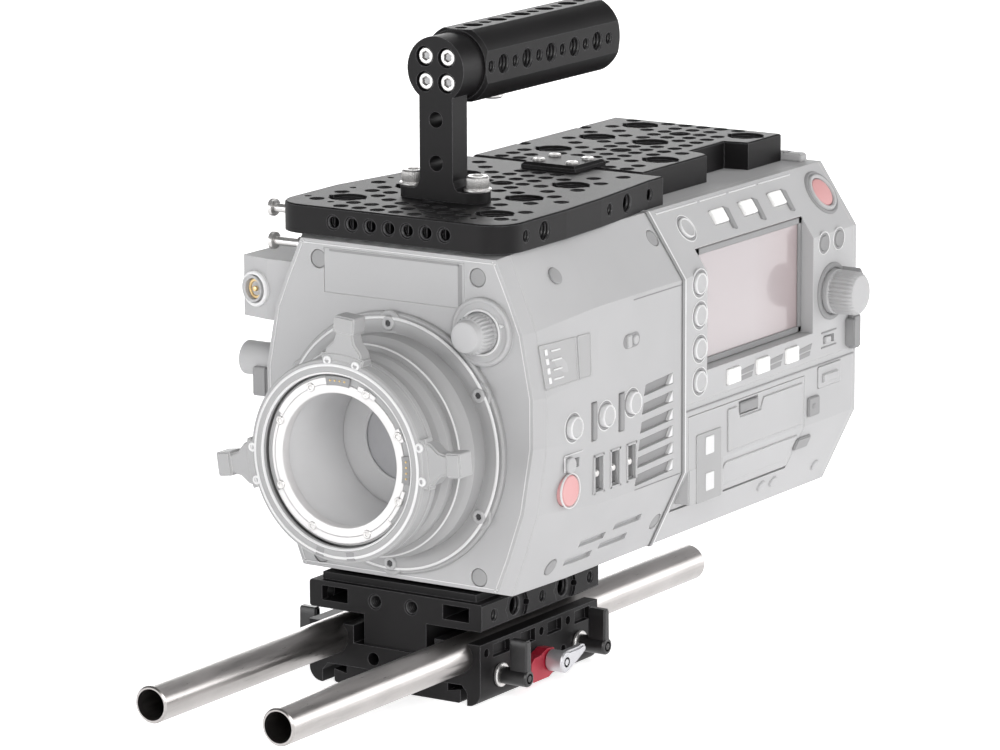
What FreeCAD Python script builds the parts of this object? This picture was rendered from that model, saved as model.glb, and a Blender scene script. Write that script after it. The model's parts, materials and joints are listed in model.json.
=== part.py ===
import FreeCAD, Part
import math
import os

import Sketcher

# Cinema camera rig: a camera head and its recorder carried between a rod
# baseplate below and two drilled top plates with a carrying handle above.
# Working frame of the sketches: X across the rig (plus on the control side),
# Y along the optical axis towards the back, Z up, zero height on the rods.
# Every sub-part is then moved together, so that the origin of the finished
# rig is the middle of the baseplate's underside.

SIZES = {
    # whole frame
    "frameShiftY": -43.5,
    "frameLift": 20.0,
    # rods
    "rodRadius": 7.5,
    "rodWall": 1.2,
    "rodSpacing": 60.0,
    "rodLength": 304.8,
    "rodFrontY": -124.4,
    "rodChamfer": 0.6,
    "runningGap": 0.05,
    # rod clamp block
    "blockHalfWidth": 41.4,
    "blockFrontY": -1.0,
    "blockRearY": 87.2,
    "blockBottomZ": -20.0,
    "blockEarZ": 5.6,
    "blockFloorZ": -1.8,
    "blockChannelHalf": 19.6,
    "blockCornerRadius": 6.0,
    "recessHalfTop": 32.5,
    "recessHalfFoot": 35.0,
    "recessTopZ": -11.8,
    "recessStepZ": -14.8,
    "railHeadHalf": 30.6,
    "railNeckHalf": 24.5,
    "railHeadZ": -15.6,
    # levers on the clamp block
    "leverZ": -9.3,
    "leverFrontY": 13.5,
    "leverRearY": 72.6,
    "releaseY": 43.0,
    "leverShaftRadius": 2.5,
    "leverShaftRootX": 36.0,
    "leverHubRadius": 3.5,
    "leverHubEndX": 55.5,
    "leverPaddleX": 47.0,
    "leverPaddleThick": 3.5,
    "leverPaddleTopZ": 6.5,
    "washerRadius": 4.9,
    "washerFaceX": 43.0,
    "washerBackX": 41.5,
    "latchFaceX": 46.5,
    # riser block
    "riserHalfWidth": 41.65,
    "riserRearY": 87.6,
    "riserBottomZ": 10.8,
    "riserTopZ": 22.0,
    "riserPadZ": 25.0,
    "riserPadHalf": 37.0,
    "riserPadFrontY": 3.0,
    "riserPadRearY": 84.0,
    "riserStemHalf": 15.0,
    "riserSlotInner": 23.0,
    "riserSlotOuter": 35.5,
    "riserSlotLowZ": 14.0,
    "riserSlotHighZ": 20.0,
    # threads and locating holes
    "quarterInchRadius": 2.65,
    "threeEighthRadius": 4.1,
    "locatorRadius": 7.9,
    "locatorDepth": 1.4,
    "locatorPinRadius": 1.5,
    "locatorPinOffset": 7.5,
    "gridPitch": 8.81,
    "mouthRadius": 3.25,
    "mouthDepth": 0.6,
    "sideHoleDepth": 9.0,
    # top plates
    "plateBottomZ": 164.2,
    "plateTopZ": 176.0,
    "frontPlateFrontY": -1.3,
    "frontPlateRearY": 129.2,
    "frontPlateLeftX": -56.8,
    "frontPlateRightX": 53.9,
    "frontPlateCorner": 13.0,
    "rearPlateFrontY": 133.0,
    "rearPlateRearY": 246.5,
    "rearPlateLeftX": -48.2,
    "rearPlateRightX": 35.3,
    "plateEdge": 0.6,
    "frontGridX": -0.9,
    "frontGridY": 4.33,
    "rearGridX": -1.2,
    "rearGridY": 136.8,
    "plainHoleRadius": 4.2,
    "linkCentreX": -1.0,
    "linkCentreY": 129.0,
    "linkHalfX": 13.2,
    "linkHalfY": 12.0,
    "linkThick": 2.6,
    "linkScrewX": 8.1,
    "linkScrewY": 6.2,
    # handle
    "handleX": -1.0,
    "footHalfX": 20.0,
    "footFrontY": 33.5,
    "footRearY": 47.0,
    "footTopZ": 180.5,
    "postHalfX": 7.9,
    "postRearY": 44.2,
    "headZ": 229.0,
    "headRadius": 13.45,
    "neckRearY": 48.0,
    "footScrewX": 15.4,
    "footScrewY": 40.2,
    "footScrewHole": 3.2,
    "headScrewX": 5.2,
    "headScrewZ": 5.1,
    "headScrewHole": 1.7,
    "headRecessRadius": 4.1,
    "headRecessDepth": 3.5,
    "postLowHoleZ": 191.2,
    "postHighHoleZ": 208.8,
    "postHoleRadius": 3.2,
    "gripFrontY": 48.0,
    "gripRearY": 150.0,
    "gripRadius": 16.0,
    "gripFlat": 14.6,
    "gripHoleStartY": 52.2,
    "gripHolePitch": 8.9,
    # camera and recorder housing
    "bodyCentreX": 1.75,
    "bodyHalfTop": 48.5,
    "bodyHalfWide": 66.25,
    "bodyHalfFoot": 50.5,
    "bodyTopZ": 164.2,
    "bodyShoulderZ": 138.0,
    "bodyHipZ": 57.5,
    "bodyFootZ": 25.0,
    "bodyFrontY": 1.0,
    "bodyRimY": 7.0,
    "bodyNoseY": 45.0,
    "moduleSeamY": 110.5,
    "recorderRearY": 255.0,
    "stripHalf": 44.5,
    "cameraWall": 3.0,
    "recorderWall": 2.5,
    # lens mount
    "lensAxisZ": 83.5,
    "throatRadius": 27.0,
    "seatOuterRadius": 34.5,
    "seatFrontY": -38.4,
    "seatBackY": -34.0,
    "portBarrelRadius": 36.5,
    "portFlangeRadius": 53.3,
    "portBoreRadius": 29.0,
    "portScrewRadius": 49.0,
    "seatScrewRadius": 30.9,
    "lockRingRadius": 41.0,
    "lockRingFrontY": -41.0,
    "lockRingBackY": -30.0,
    # filter drive
    "dialX": 42.5,
    "dialZ": 133.0,
    "dialKnobRadius": 8.0,
    "dialBaseRadius": 13.8,
    "wheelX": 14.0,
    "wheelZ": 108.0,
    "wheelRadius": 38.0,
    "wheelPinRadius": 3.0,
    "wheelDrumRadius": 30.24,
    "pinionRadius": 7.56,
    "filterRadius": 9.0,
    "filterPitchRadius": 28.2,
    # controls
    "buttonGap": 0.2,
    "buttonStand": 1.2,
    "cameraButtonStand": 2.4,
    "buttonRoot": 4.5,
    "cameraButtonRadius": 4.6,
    "recorderButtonRadius": 4.5,
    "recordButtonRadius": 6.4,
    "smallButtonRadius": 3.3,
    "keyHalfY": 5.0,
    "keyHalfUp": 3.2,
    "dialShaftRadius": 3.0,
    "jogY": 233.8,
    "jogZ": 112.8,
    "jogRadius": 9.6,
    "jogFaceX": 82.8,
    "screenFrontY": 130.0,
    "screenRearY": 218.0,
    "screenLowZ": 97.0,
    "screenHighZ": 147.0,
    "screenFaceX": 61.5,
    "panelLowZ": 85.0,
    "doorFrontY": 115.0,
    "doorRearY": 211.0,
    "doorLowZ": 39.7,
    "doorHighZ": 80.0,
    "doorGap": 0.3,
    "hingeX": 58.4,
    "hingeZ": 40.55,
    "hingeBarrelRadius": 1.2,
    "hingePinRadius": 0.75,
    "hingePinLength": 2.0,
    "hingeGrooveRadius": 2.0,
}

os.makedirs("parts", exist_ok=True)
document = FreeCAD.newDocument("CinemaCameraRig")
sheet = document.addObject("Spreadsheet::Sheet", "Sizes")
for line, (alias, number) in enumerate(SIZES.items(), start=1):
    sheet.set("A%d" % line, alias)
    sheet.set("B%d" % line, str(number))
    sheet.setAlias("B%d" % line, alias)
document.recompute()


class Size:
    """A length together with the sheet expression that gives it."""

    def __init__(self, value, text):
        self.value = value
        self.text = text

    def __add__(self, other):
        other = sized(other)
        return Size(self.value + other.value, "(%s + %s)" % (self.text, other.text))

    def __sub__(self, other):
        other = sized(other)
        return Size(self.value - other.value, "(%s - %s)" % (self.text, other.text))

    def __mul__(self, other):
        other = sized(other)
        return Size(self.value * other.value, "(%s * %s)" % (self.text, other.text))

    def __truediv__(self, other):
        other = sized(other)
        return Size(self.value / other.value, "(%s / %s)" % (self.text, other.text))

    def __neg__(self):
        return Size(-self.value, "(-1 * %s)" % self.text)

    def __radd__(self, other):
        return sized(other) + self

    def __rsub__(self, other):
        return sized(other) - self

    def __rmul__(self, other):
        return sized(other) * self


class SheetSizes:
    """Reads a named cell of the sheet as a Size."""

    def __getattr__(self, name):
        return Size(SIZES[name], "Sizes." + name)


def sized(number):
    """A plain number as a Size, and a Size as itself."""
    if isinstance(number, Size):
        return number
    return Size(float(number), "(%.6f)" % number)


S = SheetSizes()
NODES = []

# ---------------------------------------------------------------- sketches

ORIGIN_POINT = (-1, 1)


class Drawing:
    """Collects sketch geometry and the expressions that drive it."""

    def __init__(self):
        self.geometry = []
        self.constraints = []
        self.expressions = []

    def pin(self, kind, refs, size):
        if size.text.find("Sizes.") >= 0:
            self.expressions.append((len(self.constraints), size.text))
        self.constraints.append(Sketcher.Constraint(kind, *refs, size.value))

    def point(self, index, position, x, y):
        self.pin("DistanceX", (*ORIGIN_POINT, index, position), sized(x))
        self.pin("DistanceY", (*ORIGIN_POINT, index, position), sized(y))

    def circle(self, x, y, radius):
        centre = FreeCAD.Vector(sized(x).value, sized(y).value, 0)
        index = len(self.geometry)
        self.geometry.append(Part.Circle(centre, FreeCAD.Vector(0, 0, 1), sized(radius).value))
        self.pin("Radius", (index,), sized(radius))
        self.point(index, 3, x, y)

    def polygon(self, points):
        first = len(self.geometry)
        count = len(points)
        corners = [FreeCAD.Vector(sized(x).value, sized(y).value, 0) for x, y in points]
        for place, (x, y) in enumerate(points):
            index = first + place
            following = first + (place + 1) % count
            self.geometry.append(Part.LineSegment(corners[place], corners[(place + 1) % count]))
            self.constraints.append(Sketcher.Constraint("Coincident", index, 2, following, 1))
            self.point(index, 1, x, y)

    def fill(self, sketch):
        sketch.addGeometry(self.geometry, False)
        sketch.addConstraint(self.constraints)
        for index, text in self.expressions:
            sketch.setExpression("Constraints[%d]" % index, text)


def circle(x, y, radius):
    return lambda drawing: drawing.circle(x, y, radius)


def polygon(points):
    return lambda drawing: drawing.polygon(points)


def rectangle(low_x, high_x, low_y, high_y):
    return polygon([(low_x, low_y), (high_x, low_y), (high_x, high_y), (low_x, high_y)])


def mirrored(points, centre=0.0):
    """A symmetric outline from its right-hand half, listed from top to bottom."""
    left = [(sized(centre) - x, z) for x, z in reversed(points)]
    return polygon([(sized(centre) + x, z) for x, z in points] + left)


def draw(sketch, loops):
    drawing = Drawing()
    for loop in loops:
        loop(drawing)
    drawing.fill(sketch)


# ------------------------------------------------------- PartDesign pieces

PLANES = {"XY": ("XY_Plane", 1), "XZ": ("XZ_Plane", -1), "YZ": ("YZ_Plane", 1)}


class Piece:
    """A PartDesign body that is milled from pads, pockets and edge breaks."""

    def __init__(self, label):
        self.label = label
        self.body = document.addObject("PartDesign::Body", label)
        self.body.Label = label
        self.steps = 0

    def sketch(self, plane, offset, loops):
        role, sign = PLANES[plane]
        self.steps += 1
        sketch = self.body.newObject("Sketcher::SketchObject", "%s_sketch_%d" % (self.label, self.steps))
        datum = next(item for item in self.body.Origin.OriginFeatures if item.Role == role)
        sketch.AttachmentSupport = [(datum, "")]
        sketch.MapMode = "FlatFace"
        sketch.setExpression("AttachmentOffset.Base.z", (sign * sized(offset)).text)
        draw(sketch, loops)
        return sketch

    def feature(self, kind, plane, offset, depth, loops):
        profile = self.sketch(plane, offset, loops)
        feature = self.body.newObject("PartDesign::" + kind, "%s_%s_%d" % (self.label, kind, self.steps))
        feature.Profile = profile
        feature.setExpression("Length", sized(depth).text)
        profile.Visibility = False
        return feature

    def pad(self, plane, low, high, *loops):
        start = high if plane == "XZ" else low
        self.feature("Pad", plane, start, sized(high) - low, loops)
        document.recompute()
        return self

    def pocket(self, plane, low, high, *loops, taper=0.0):
        """Removes material between low and high; a taper opens or closes it with depth."""
        before = self.body.Shape.Volume
        start = low if plane == "XZ" else high
        feature = self.feature("Pocket", plane, start, sized(high) - low, loops)
        feature.TaperAngle = taper
        document.recompute()
        if self.body.Shape.Volume >= before - 1e-6:
            raise RuntimeError("%s step %d removed nothing" % (self.label, self.steps))
        return self

    def edges(self, kind, size, chosen):
        self.steps += 1
        base = self.body.Tip
        names = [
            "Edge%d" % (index + 1)
            for index, edge in enumerate(base.Shape.Edges)
            if chosen(edge)
        ]
        feature = self.body.newObject("PartDesign::" + kind, "%s_%s_%d" % (self.label, kind, self.steps))
        feature.Base = (base, names)
        feature.setExpression("Radius" if kind == "Fillet" else "Size", sized(size).text)
        document.recompute()
        return self

    def keep(self):
        return keep(self.body, self.label)


def keep(item, label):
    """Registers a finished sub-part and moves it into the rig's frame."""
    item.Label = label
    item.setExpression("Placement.Base.y", "Sizes.frameShiftY")
    item.setExpression("Placement.Base.z", "Sizes.frameLift")
    NODES.append(item)
    return item


# ------------------------------------------------------------ Part objects


def place(item, x, y, z):
    for axis, value in zip("xyz", (x, y, z)):
        item.setExpression("Placement.Base." + axis, sized(value).text)
    return item


def box(x, y, z):
    """A block between the low and high values given for each axis."""
    item = document.addObject("Part::Box", "block")
    for side, (low, high) in zip(("Length", "Width", "Height"), (x, y, z)):
        item.setExpression(side, (sized(high) - low).text)
    return place(item, x[0], y[0], z[0])


def cylinder(radius, height, x, y, z, turn):
    """A cylinder from the point x, y, z along the direction that turn gives +Z."""
    item = document.addObject("Part::Cylinder", "round")
    item.setExpression("Radius", sized(radius).text)
    item.setExpression("Height", sized(height).text)
    item.Placement = FreeCAD.Placement(FreeCAD.Vector(), turn)
    return place(item, x, y, z)


def prism(plane, low, high, *loops):
    """Loops drawn in a plane and extruded between two stations."""
    sketch = document.addObject("Sketcher::SketchObject", "outline")
    turns = {
        "XY": FreeCAD.Rotation(),
        "XZ": FreeCAD.Rotation(FreeCAD.Vector(1, 0, 0), 90),
        "YZ": FreeCAD.Rotation(FreeCAD.Vector(1, 1, 1), 120),
    }
    sketch.Placement = FreeCAD.Placement(FreeCAD.Vector(), turns[plane])
    axis = {"XY": "z", "XZ": "y", "YZ": "x"}[plane]
    start = high if plane == "XZ" else low
    sketch.setExpression("Placement.Base." + axis, sized(start).text)
    draw(sketch, loops)
    item = document.addObject("Part::Extrusion", "prism")
    item.Base = sketch
    item.DirMode = "Normal"
    item.Solid = True
    item.setExpression("LengthFwd", (sized(high) - low).text)
    return item


def cut(base, *tools):
    item = document.addObject("Part::Cut", "cut")
    item.Base = base
    item.Tool = tools[0] if len(tools) == 1 else fuse(*tools)
    return item


def fuse(*shapes):
    item = document.addObject("Part::MultiFuse", "fuse")
    item.Shapes = list(shapes)
    return item


def common(first, second):
    item = document.addObject("Part::Common", "common")
    item.Base = first
    item.Tool = second
    return item


def group(*shapes):
    item = document.addObject("Part::Compound", "group")
    item.Links = list(shapes)
    return item


OUT_RIGHT = FreeCAD.Rotation(FreeCAD.Vector(0, 1, 0), 90)
OUT_LEFT = FreeCAD.Rotation(FreeCAD.Vector(0, 1, 0), -90)
OUT_FRONT = FreeCAD.Rotation(FreeCAD.Vector(1, 0, 0), 90)
UPWARD = FreeCAD.Rotation()


# Half angle, in degrees, by which the mouth of a threaded hole closes with depth.
MOUTH_TAPER = -40

# ------------------------------------------------------------ rods and base


def rods():
    for label, side in (("rod_left", -1), ("rod_right", 1)):
        x = side * S.rodSpacing / 2
        rear = S.rodFrontY + S.rodLength
        rod = Piece(label)
        rod.pad("XZ", S.rodFrontY, rear, circle(x, 0, S.rodRadius), circle(x, 0, S.rodRadius - S.rodWall))
        rod.edges("Chamfer", S.rodChamfer, lambda edge: edge.BoundBox.XLength > 2 * S.rodRadius.value - 0.5)
        rod.keep()


SIDE_POCKETS = ((8.5, 20.9), (29.0, 39.8), (48.9, 59.8), (69.5, 81.0))
SIDE_DOTS = (3.6, 24.0, 44.5, 64.6)


def rod_clamp_block():
    block = Piece("rod_clamp_block")
    block.pad("XZ", S.blockFrontY, S.blockRearY, mirrored([
        (S.blockChannelHalf, S.blockFloorZ),
        (S.blockChannelHalf, S.blockEarZ),
        (S.blockHalfWidth, S.blockEarZ),
        (S.blockHalfWidth, S.blockBottomZ),
        (S.recessHalfFoot, S.blockBottomZ),
        (S.recessHalfFoot, S.recessStepZ),
        (S.recessHalfTop, S.recessTopZ),
    ]))
    low_corner = S.blockHalfWidth.value
    block.edges("Fillet", S.blockCornerRadius, lambda edge: (
        abs(abs(edge.CenterOfMass.x) - low_corner) < 0.1
        and abs(edge.CenterOfMass.z - S.blockBottomZ.value) < 0.1
        and edge.BoundBox.YLength > 50))
    half = S.rodSpacing / 2
    bore = S.rodRadius + S.runningGap
    block.pocket("XZ", S.blockFrontY, S.blockRearY, circle(half, 0, bore), circle(-half, 0, bore))
    block.pocket("XZ", S.blockFrontY, S.blockFrontY + 12,
                 circle(10, -7.1, S.quarterInchRadius), circle(-10, -7.1, S.quarterInchRadius))
    shaft = S.leverShaftRadius + S.runningGap
    holes = [circle(y, S.leverZ, shaft) for y in (S.leverFrontY, S.leverRearY, S.releaseY)]
    holes.append(circle(60.8, -10, 2.2))
    holes.extend(circle(y, 1.6, 1.8) for y in SIDE_DOTS)
    pockets = [rectangle(low, high, -1.2, 4.1) for low, high in SIDE_POCKETS]
    dot_depth = 2.4
    for side in (1, -1):
        root = side * S.leverShaftRootX
        face = side * S.blockHalfWidth
        low, high = (root, face) if side > 0 else (face, root)
        block.pocket("YZ", low, high, *holes[:3])
        inner = side * (S.blockHalfWidth - dot_depth)
        low, high = (inner, face) if side > 0 else (face, inner)
        block.pocket("YZ", low, high, *holes[3:], *pockets)
    block.keep()


def dovetail_rail():
    rail = Piece("dovetail_rail")
    rail.pad("XZ", S.blockFrontY + 2, S.blockRearY - 2, mirrored([
        (S.railNeckHalf, S.recessTopZ),
        (S.railNeckHalf, S.railHeadZ),
        (S.railHeadHalf, S.railHeadZ + 1.2),
        (S.railHeadHalf, S.blockBottomZ + 0.8),
        (S.railHeadHalf - 0.8, S.blockBottomZ),
    ]))
    rail.pocket("XY", S.blockBottomZ, S.recessTopZ, *[
        circle(x, y, S.threeEighthRadius) for x in (-12.7, 12.7) for y in (22.0, 64.0)])
    rail.keep()


def riser_block():
    riser = Piece("riser_block")
    riser.pad("XZ", 0, S.riserRearY, mirrored([
        (S.riserHalfWidth, S.riserTopZ),
        (S.riserHalfWidth, S.riserBottomZ),
        (S.riserStemHalf, S.riserBottomZ),
        (S.riserStemHalf, S.blockFloorZ),
    ]))
    riser.edges("Chamfer", 0.8, lambda edge: (
        abs(abs(edge.CenterOfMass.x) - S.riserHalfWidth.value) < 0.1 and edge.BoundBox.YLength > 50))
    riser.pad("XY", S.riserTopZ, S.riserPadZ,
              rectangle(-S.riserPadHalf, S.riserPadHalf, S.riserPadFrontY, S.riserPadRearY))
    riser.pocket("XZ", 0, S.riserRearY, *[
        rectangle(low, high, S.riserSlotLowZ, S.riserSlotHighZ)
        for low, high in ((S.riserSlotInner, S.riserSlotOuter), (-S.riserSlotOuter, -S.riserSlotInner))])
    front_x = (-9.75, 7.75)
    riser.pocket("XZ", 0, 12, *[circle(x, 16.5, S.quarterInchRadius) for x in front_x])
    riser.pocket("XZ", 0, S.mouthDepth,
                 *[circle(x, 16.5, S.mouthRadius) for x in front_x], taper=MOUTH_TAPER)
    wall = S.riserHalfWidth - S.riserSlotOuter + 0.5
    for side in (1, -1):
        face = side * S.riserHalfWidth
        small_y, large_y = [
            [y if side > 0 else S.riserRearY - y for y in row]
            for row in ((8.9, 45.0, 81.4), (26.2, 62.3))]
        plain = [circle(y, 16.2, S.quarterInchRadius) for y in small_y]
        plain += [circle(y, 16.2, S.threeEighthRadius) for y in large_y]
        for depth, loops in (
                (wall, plain),
                (S.locatorDepth, [circle(y, 16.2, S.locatorRadius) for y in large_y]),
                (wall - 2.5, [circle(y + step, 16.2, S.locatorPinRadius - 0.3)
                              for y in large_y for step in (-7.6, 7.6)])):
            inner = side * (S.riserHalfWidth - depth)
            low, high = (inner, face) if side > 0 else (face, inner)
            riser.pocket("YZ", low, high, *loops)
    riser.keep()


def clamp_levers():
    places = {
        "clamp_lever_front_right": (1, S.leverFrontY),
        "clamp_lever_rear_right": (1, S.leverRearY),
        "clamp_lever_front_left": (-1, S.leverFrontY),
        "clamp_lever_rear_left": (-1, S.leverRearY),
    }
    for label, (side, y) in places.items():
        turn = OUT_RIGHT if side > 0 else OUT_LEFT
        parts = []
        for radius, start, end in (
                (S.leverShaftRadius, S.leverShaftRootX, S.washerBackX),
                (S.washerRadius, S.washerBackX, S.washerFaceX),
                (S.leverHubRadius, S.washerFaceX, S.leverHubEndX)):
            parts.append(cylinder(radius, end - start, side * start, y, S.leverZ, turn))
        half = S.leverPaddleThick / 2
        span = sorted((side * S.leverPaddleX, side * S.leverHubEndX), key=lambda size: size.value)
        tip = 1.5
        parts.append(prism("YZ", span[0], span[1], polygon([
            (y - half, S.leverZ),
            (y + half, S.leverZ),
            (y + half, S.leverPaddleTopZ - tip),
            (y + half - 1, S.leverPaddleTopZ),
            (y - half + 1, S.leverPaddleTopZ),
            (y - half, S.leverPaddleTopZ - tip),
        ])))
        keep(fuse(*parts), label)


def release_lever():
    hub_start = S.latchFaceX + 0.2
    hub_end = S.leverHubEndX - 1
    arm_start = hub_end - 4
    shaft = cylinder(S.leverShaftRadius, hub_start - S.leverShaftRootX,
                     S.leverShaftRootX, S.releaseY, S.leverZ, OUT_RIGHT)
    hub = cylinder(4.4, hub_end - hub_start, hub_start, S.releaseY, S.leverZ, OUT_RIGHT)
    arm = prism("YZ", arm_start, hub_end, polygon([
        (S.releaseY, S.leverZ - 4.2),
        (S.releaseY + 6, S.leverZ - 2.6),
        (S.releaseY + 14.5, S.leverZ + 0.6),
        (S.releaseY + 15.2, S.leverZ + 3.4),
        (S.releaseY + 13.6, S.leverZ + 4.6),
        (S.releaseY, S.leverZ + 4.2),
    ]))
    keep(fuse(shaft, hub, arm), "release_lever")


def safety_latch():
    back = S.blockHalfWidth + 0.2
    plate = prism("YZ", back, S.latchFaceX, polygon([
        (29.0, S.leverZ + 1.2),
        (29.0, -15.2),
        (30.6, -16.2),
        (42.0, -16.2),
        (45.6, -14.6),
        (48.2, S.leverZ),
        (45.6, S.leverZ + 4.6),
        (41.0, S.leverZ + 5.2),
        (36.0, S.leverZ + 3.4),
        (31.0, S.leverZ + 3.0),
    ]))
    hole = cylinder(S.leverShaftRadius + S.runningGap, 20, 35, S.releaseY, S.leverZ, OUT_RIGHT)
    keep(cut(plate, hole), "safety_latch")


# --------------------------------------------------------------- top plates

# Columns of 1/4 inch holes in each row of the front plate's grid.
FRONT_ROWS = {
    0: (-3, -2, -1, 0, 1, 2, 3),
    1: (-5, -3, -2, -1, 0, 1, 2, 3, 5),
    2: (-1, 0, 1, 2),
    2.4: (-2,),
    3: (-5, -3, 3, 5),
    4: (-4, -3, 3),
    5: (-4, 2, 4),
    6: (-5, 5),
    7: (-4, -2, -1, 1, 2, 4),
    8: (-3, -1, 1, 3),
    9: (-4, -2, -1, 1, 2, 4),
    10: (-1, 0, 1),
    11: (-4, -2, -1, 0, 1, 2, 4),
    12: (-3, -1, 0, 1, 3),
    13: (-4, 4),
}
FRONT_LOCATORS = ((-4, 2), (4, 2), (3, 6), (-3, 6), (3, 10), (-3, 10))
FRONT_PLAIN = ((0, 2.95), (0, 8.8))
FRONT_TINY = ((-5.75, 1.35), (5.6, 1.15), (-4.0, 0.65), (3.8, 0.55), (-5.2, 4.2), (-5.2, 7.3))

REAR_ROWS = {
    0: (-4, -3, -2, 2, 3),
    1: (-4, -3, -1, 0, 1, 3),
    2: (-4, -2, -1, 0, 1, 2),
    3: (-1, 0, 1),
    3.5: (-5,),
    4: (-2, -1, 1, 2),
    5: (-3, -1, 1, 2, 3),
    5.5: (0,),
    6: (-4, -2, -1, 1, 2),
    7: (2,),
    8: (-4, -2, -1, 1, 2),
    8.6: (0,),
    9: (-5, -3, -1, 1, 2),
    10: (-4, -2, -1, 1, 2),
    11: (-1, 0, 1),
    12: (-4, -2, -1, 0, 1, 2),
}
REAR_LOCATORS = ((-3, 3), (3, 3), (-3, 7), (0, 7), (-3, 11), (3, 11))
REAR_PLAIN = ((0, 4.3), (0, 9.8))


def drill_grid(plate, start_x, start_y, rows, locators, plain, tiny=()):
    def spot(column, row):
        return start_x + column * S.gridPitch, start_y + row * S.gridPitch

    small = [spot(column, row) for row, columns in rows.items() for column in columns]
    large = [spot(*item) for item in locators]
    open_holes = [spot(*item) for item in plain]
    through = [circle(x, y, S.quarterInchRadius) for x, y in small]
    through += [circle(x, y, S.threeEighthRadius) for x, y in large]
    through += [circle(x, y, S.plainHoleRadius) for x, y in open_holes]
    plate.pocket("XY", S.plateBottomZ, S.plateTopZ, *through)
    mouths = [circle(x, y, S.mouthRadius) for x, y in small]
    mouths += [circle(x, y, S.plainHoleRadius + S.mouthDepth) for x, y in open_holes]
    plate.pocket("XY", S.plateTopZ - S.mouthDepth, S.plateTopZ, *mouths, taper=MOUTH_TAPER)
    plate.pocket("XY", S.plateTopZ - S.locatorDepth, S.plateTopZ,
                 *[circle(x, y, S.locatorRadius) for x, y in large])
    pins = [circle(x + side * S.locatorPinOffset, y, S.locatorPinRadius)
            for x, y in large for side in (-1, 1)]
    pins += [circle(*spot(*item), S.locatorPinRadius) for item in tiny]
    plate.pocket("XY", S.plateTopZ - 5, S.plateTopZ, *pins)


def break_top_edges(plate):
    """Chamfers the plate's outer edge all round its top face."""
    top = plate.body.Shape.BoundBox.ZMax
    plate.edges("Chamfer", S.plateEdge, lambda edge: (
        abs(edge.BoundBox.ZMin - top) < 1e-3
        and edge.BoundBox.ZLength < 1e-3))


def front_top_plate():
    plate = Piece("front_top_plate")
    plate.pad("XY", S.plateBottomZ, S.plateTopZ, polygon([
        (S.frontPlateLeftX, S.frontPlateFrontY),
        (S.frontPlateRightX, S.frontPlateFrontY),
        (S.frontPlateRightX, 44),
        (52.2, 73),
        (49.2, 101),
        (47.4, 117),
        (47.1, S.frontPlateRearY),
        (-48.6, S.frontPlateRearY),
        (-48.8, 98),
        (-51.0, 78),
        (S.frontPlateLeftX, 44),
    ]))
    plate.edges("Fillet", S.frontPlateCorner, lambda edge: (
        edge.BoundBox.ZLength > 5 and abs(edge.CenterOfMass.y - S.frontPlateFrontY.value) < 0.1))
    break_top_edges(plate)
    drill_grid(plate, S.frontGridX, S.frontGridY, FRONT_ROWS, FRONT_LOCATORS, FRONT_PLAIN, FRONT_TINY)
    front_holes = [S.frontGridX + column * S.gridPitch for column in range(-3, 4)]
    middle = (S.plateBottomZ + S.plateTopZ) / 2
    front = S.frontPlateFrontY
    plate.pocket("XZ", front, front + 3.2, *[circle(x, middle, S.quarterInchRadius) for x in front_holes])
    plate.pocket("XZ", front, front + S.mouthDepth,
                 *[circle(x, middle, S.mouthRadius) for x in front_holes], taper=MOUTH_TAPER)
    quarter = [circle(y, middle, S.quarterInchRadius) for y in (14.5, 81.0, 118.0)]
    large = [circle(y, middle, S.threeEighthRadius) for y in (28.0, 97.0)]
    right = S.frontPlateRightX
    left = S.frontPlateLeftX
    plate.pocket("YZ", right - S.sideHoleDepth, right + 0.1, *quarter, *large)
    plate.pocket("YZ", left - 0.1, left + S.sideHoleDepth, *quarter, *large)
    plate.keep()


def rear_top_plate():
    plate = Piece("rear_top_plate")
    plate.pad("XY", S.plateBottomZ, S.plateTopZ, polygon([
        (S.rearPlateLeftX, S.rearPlateFrontY),
        (S.rearPlateRightX, S.rearPlateFrontY),
        (S.rearPlateRightX, 184.2),
        (S.rearPlateRightX - 3, 186.4),
        (24.4, 188.4),
        (24.4, 217.0),
        (S.rearPlateRightX, 218.8),
        (S.rearPlateRightX, S.rearPlateRearY),
        (S.rearPlateLeftX, S.rearPlateRearY),
    ]))
    break_top_edges(plate)
    drill_grid(plate, S.rearGridX, S.rearGridY, REAR_ROWS, REAR_LOCATORS, REAR_PLAIN)
    plate.keep()


def seam_link_plate():
    top = S.plateTopZ + S.linkThick
    x = S.linkCentreX
    y = S.linkCentreY
    link = Piece("seam_link_plate")
    link.pad("XY", S.plateTopZ, top,
             rectangle(x - S.linkHalfX, x + S.linkHalfX, y - S.linkHalfY, y + S.linkHalfY))
    link.edges("Chamfer", 1.2, lambda edge: abs(edge.BoundBox.ZMin - top.value) < 1e-3)
    screws = [(x + a * S.linkScrewX, y + b * S.linkScrewY) for a in (-1, 1) for b in (-1, 1)]
    link.pocket("XY", S.plateTopZ, top, *[circle(a, b, 1.6) for a, b in screws])
    link.keep()


# ------------------------------------------------------------------- handle


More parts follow.
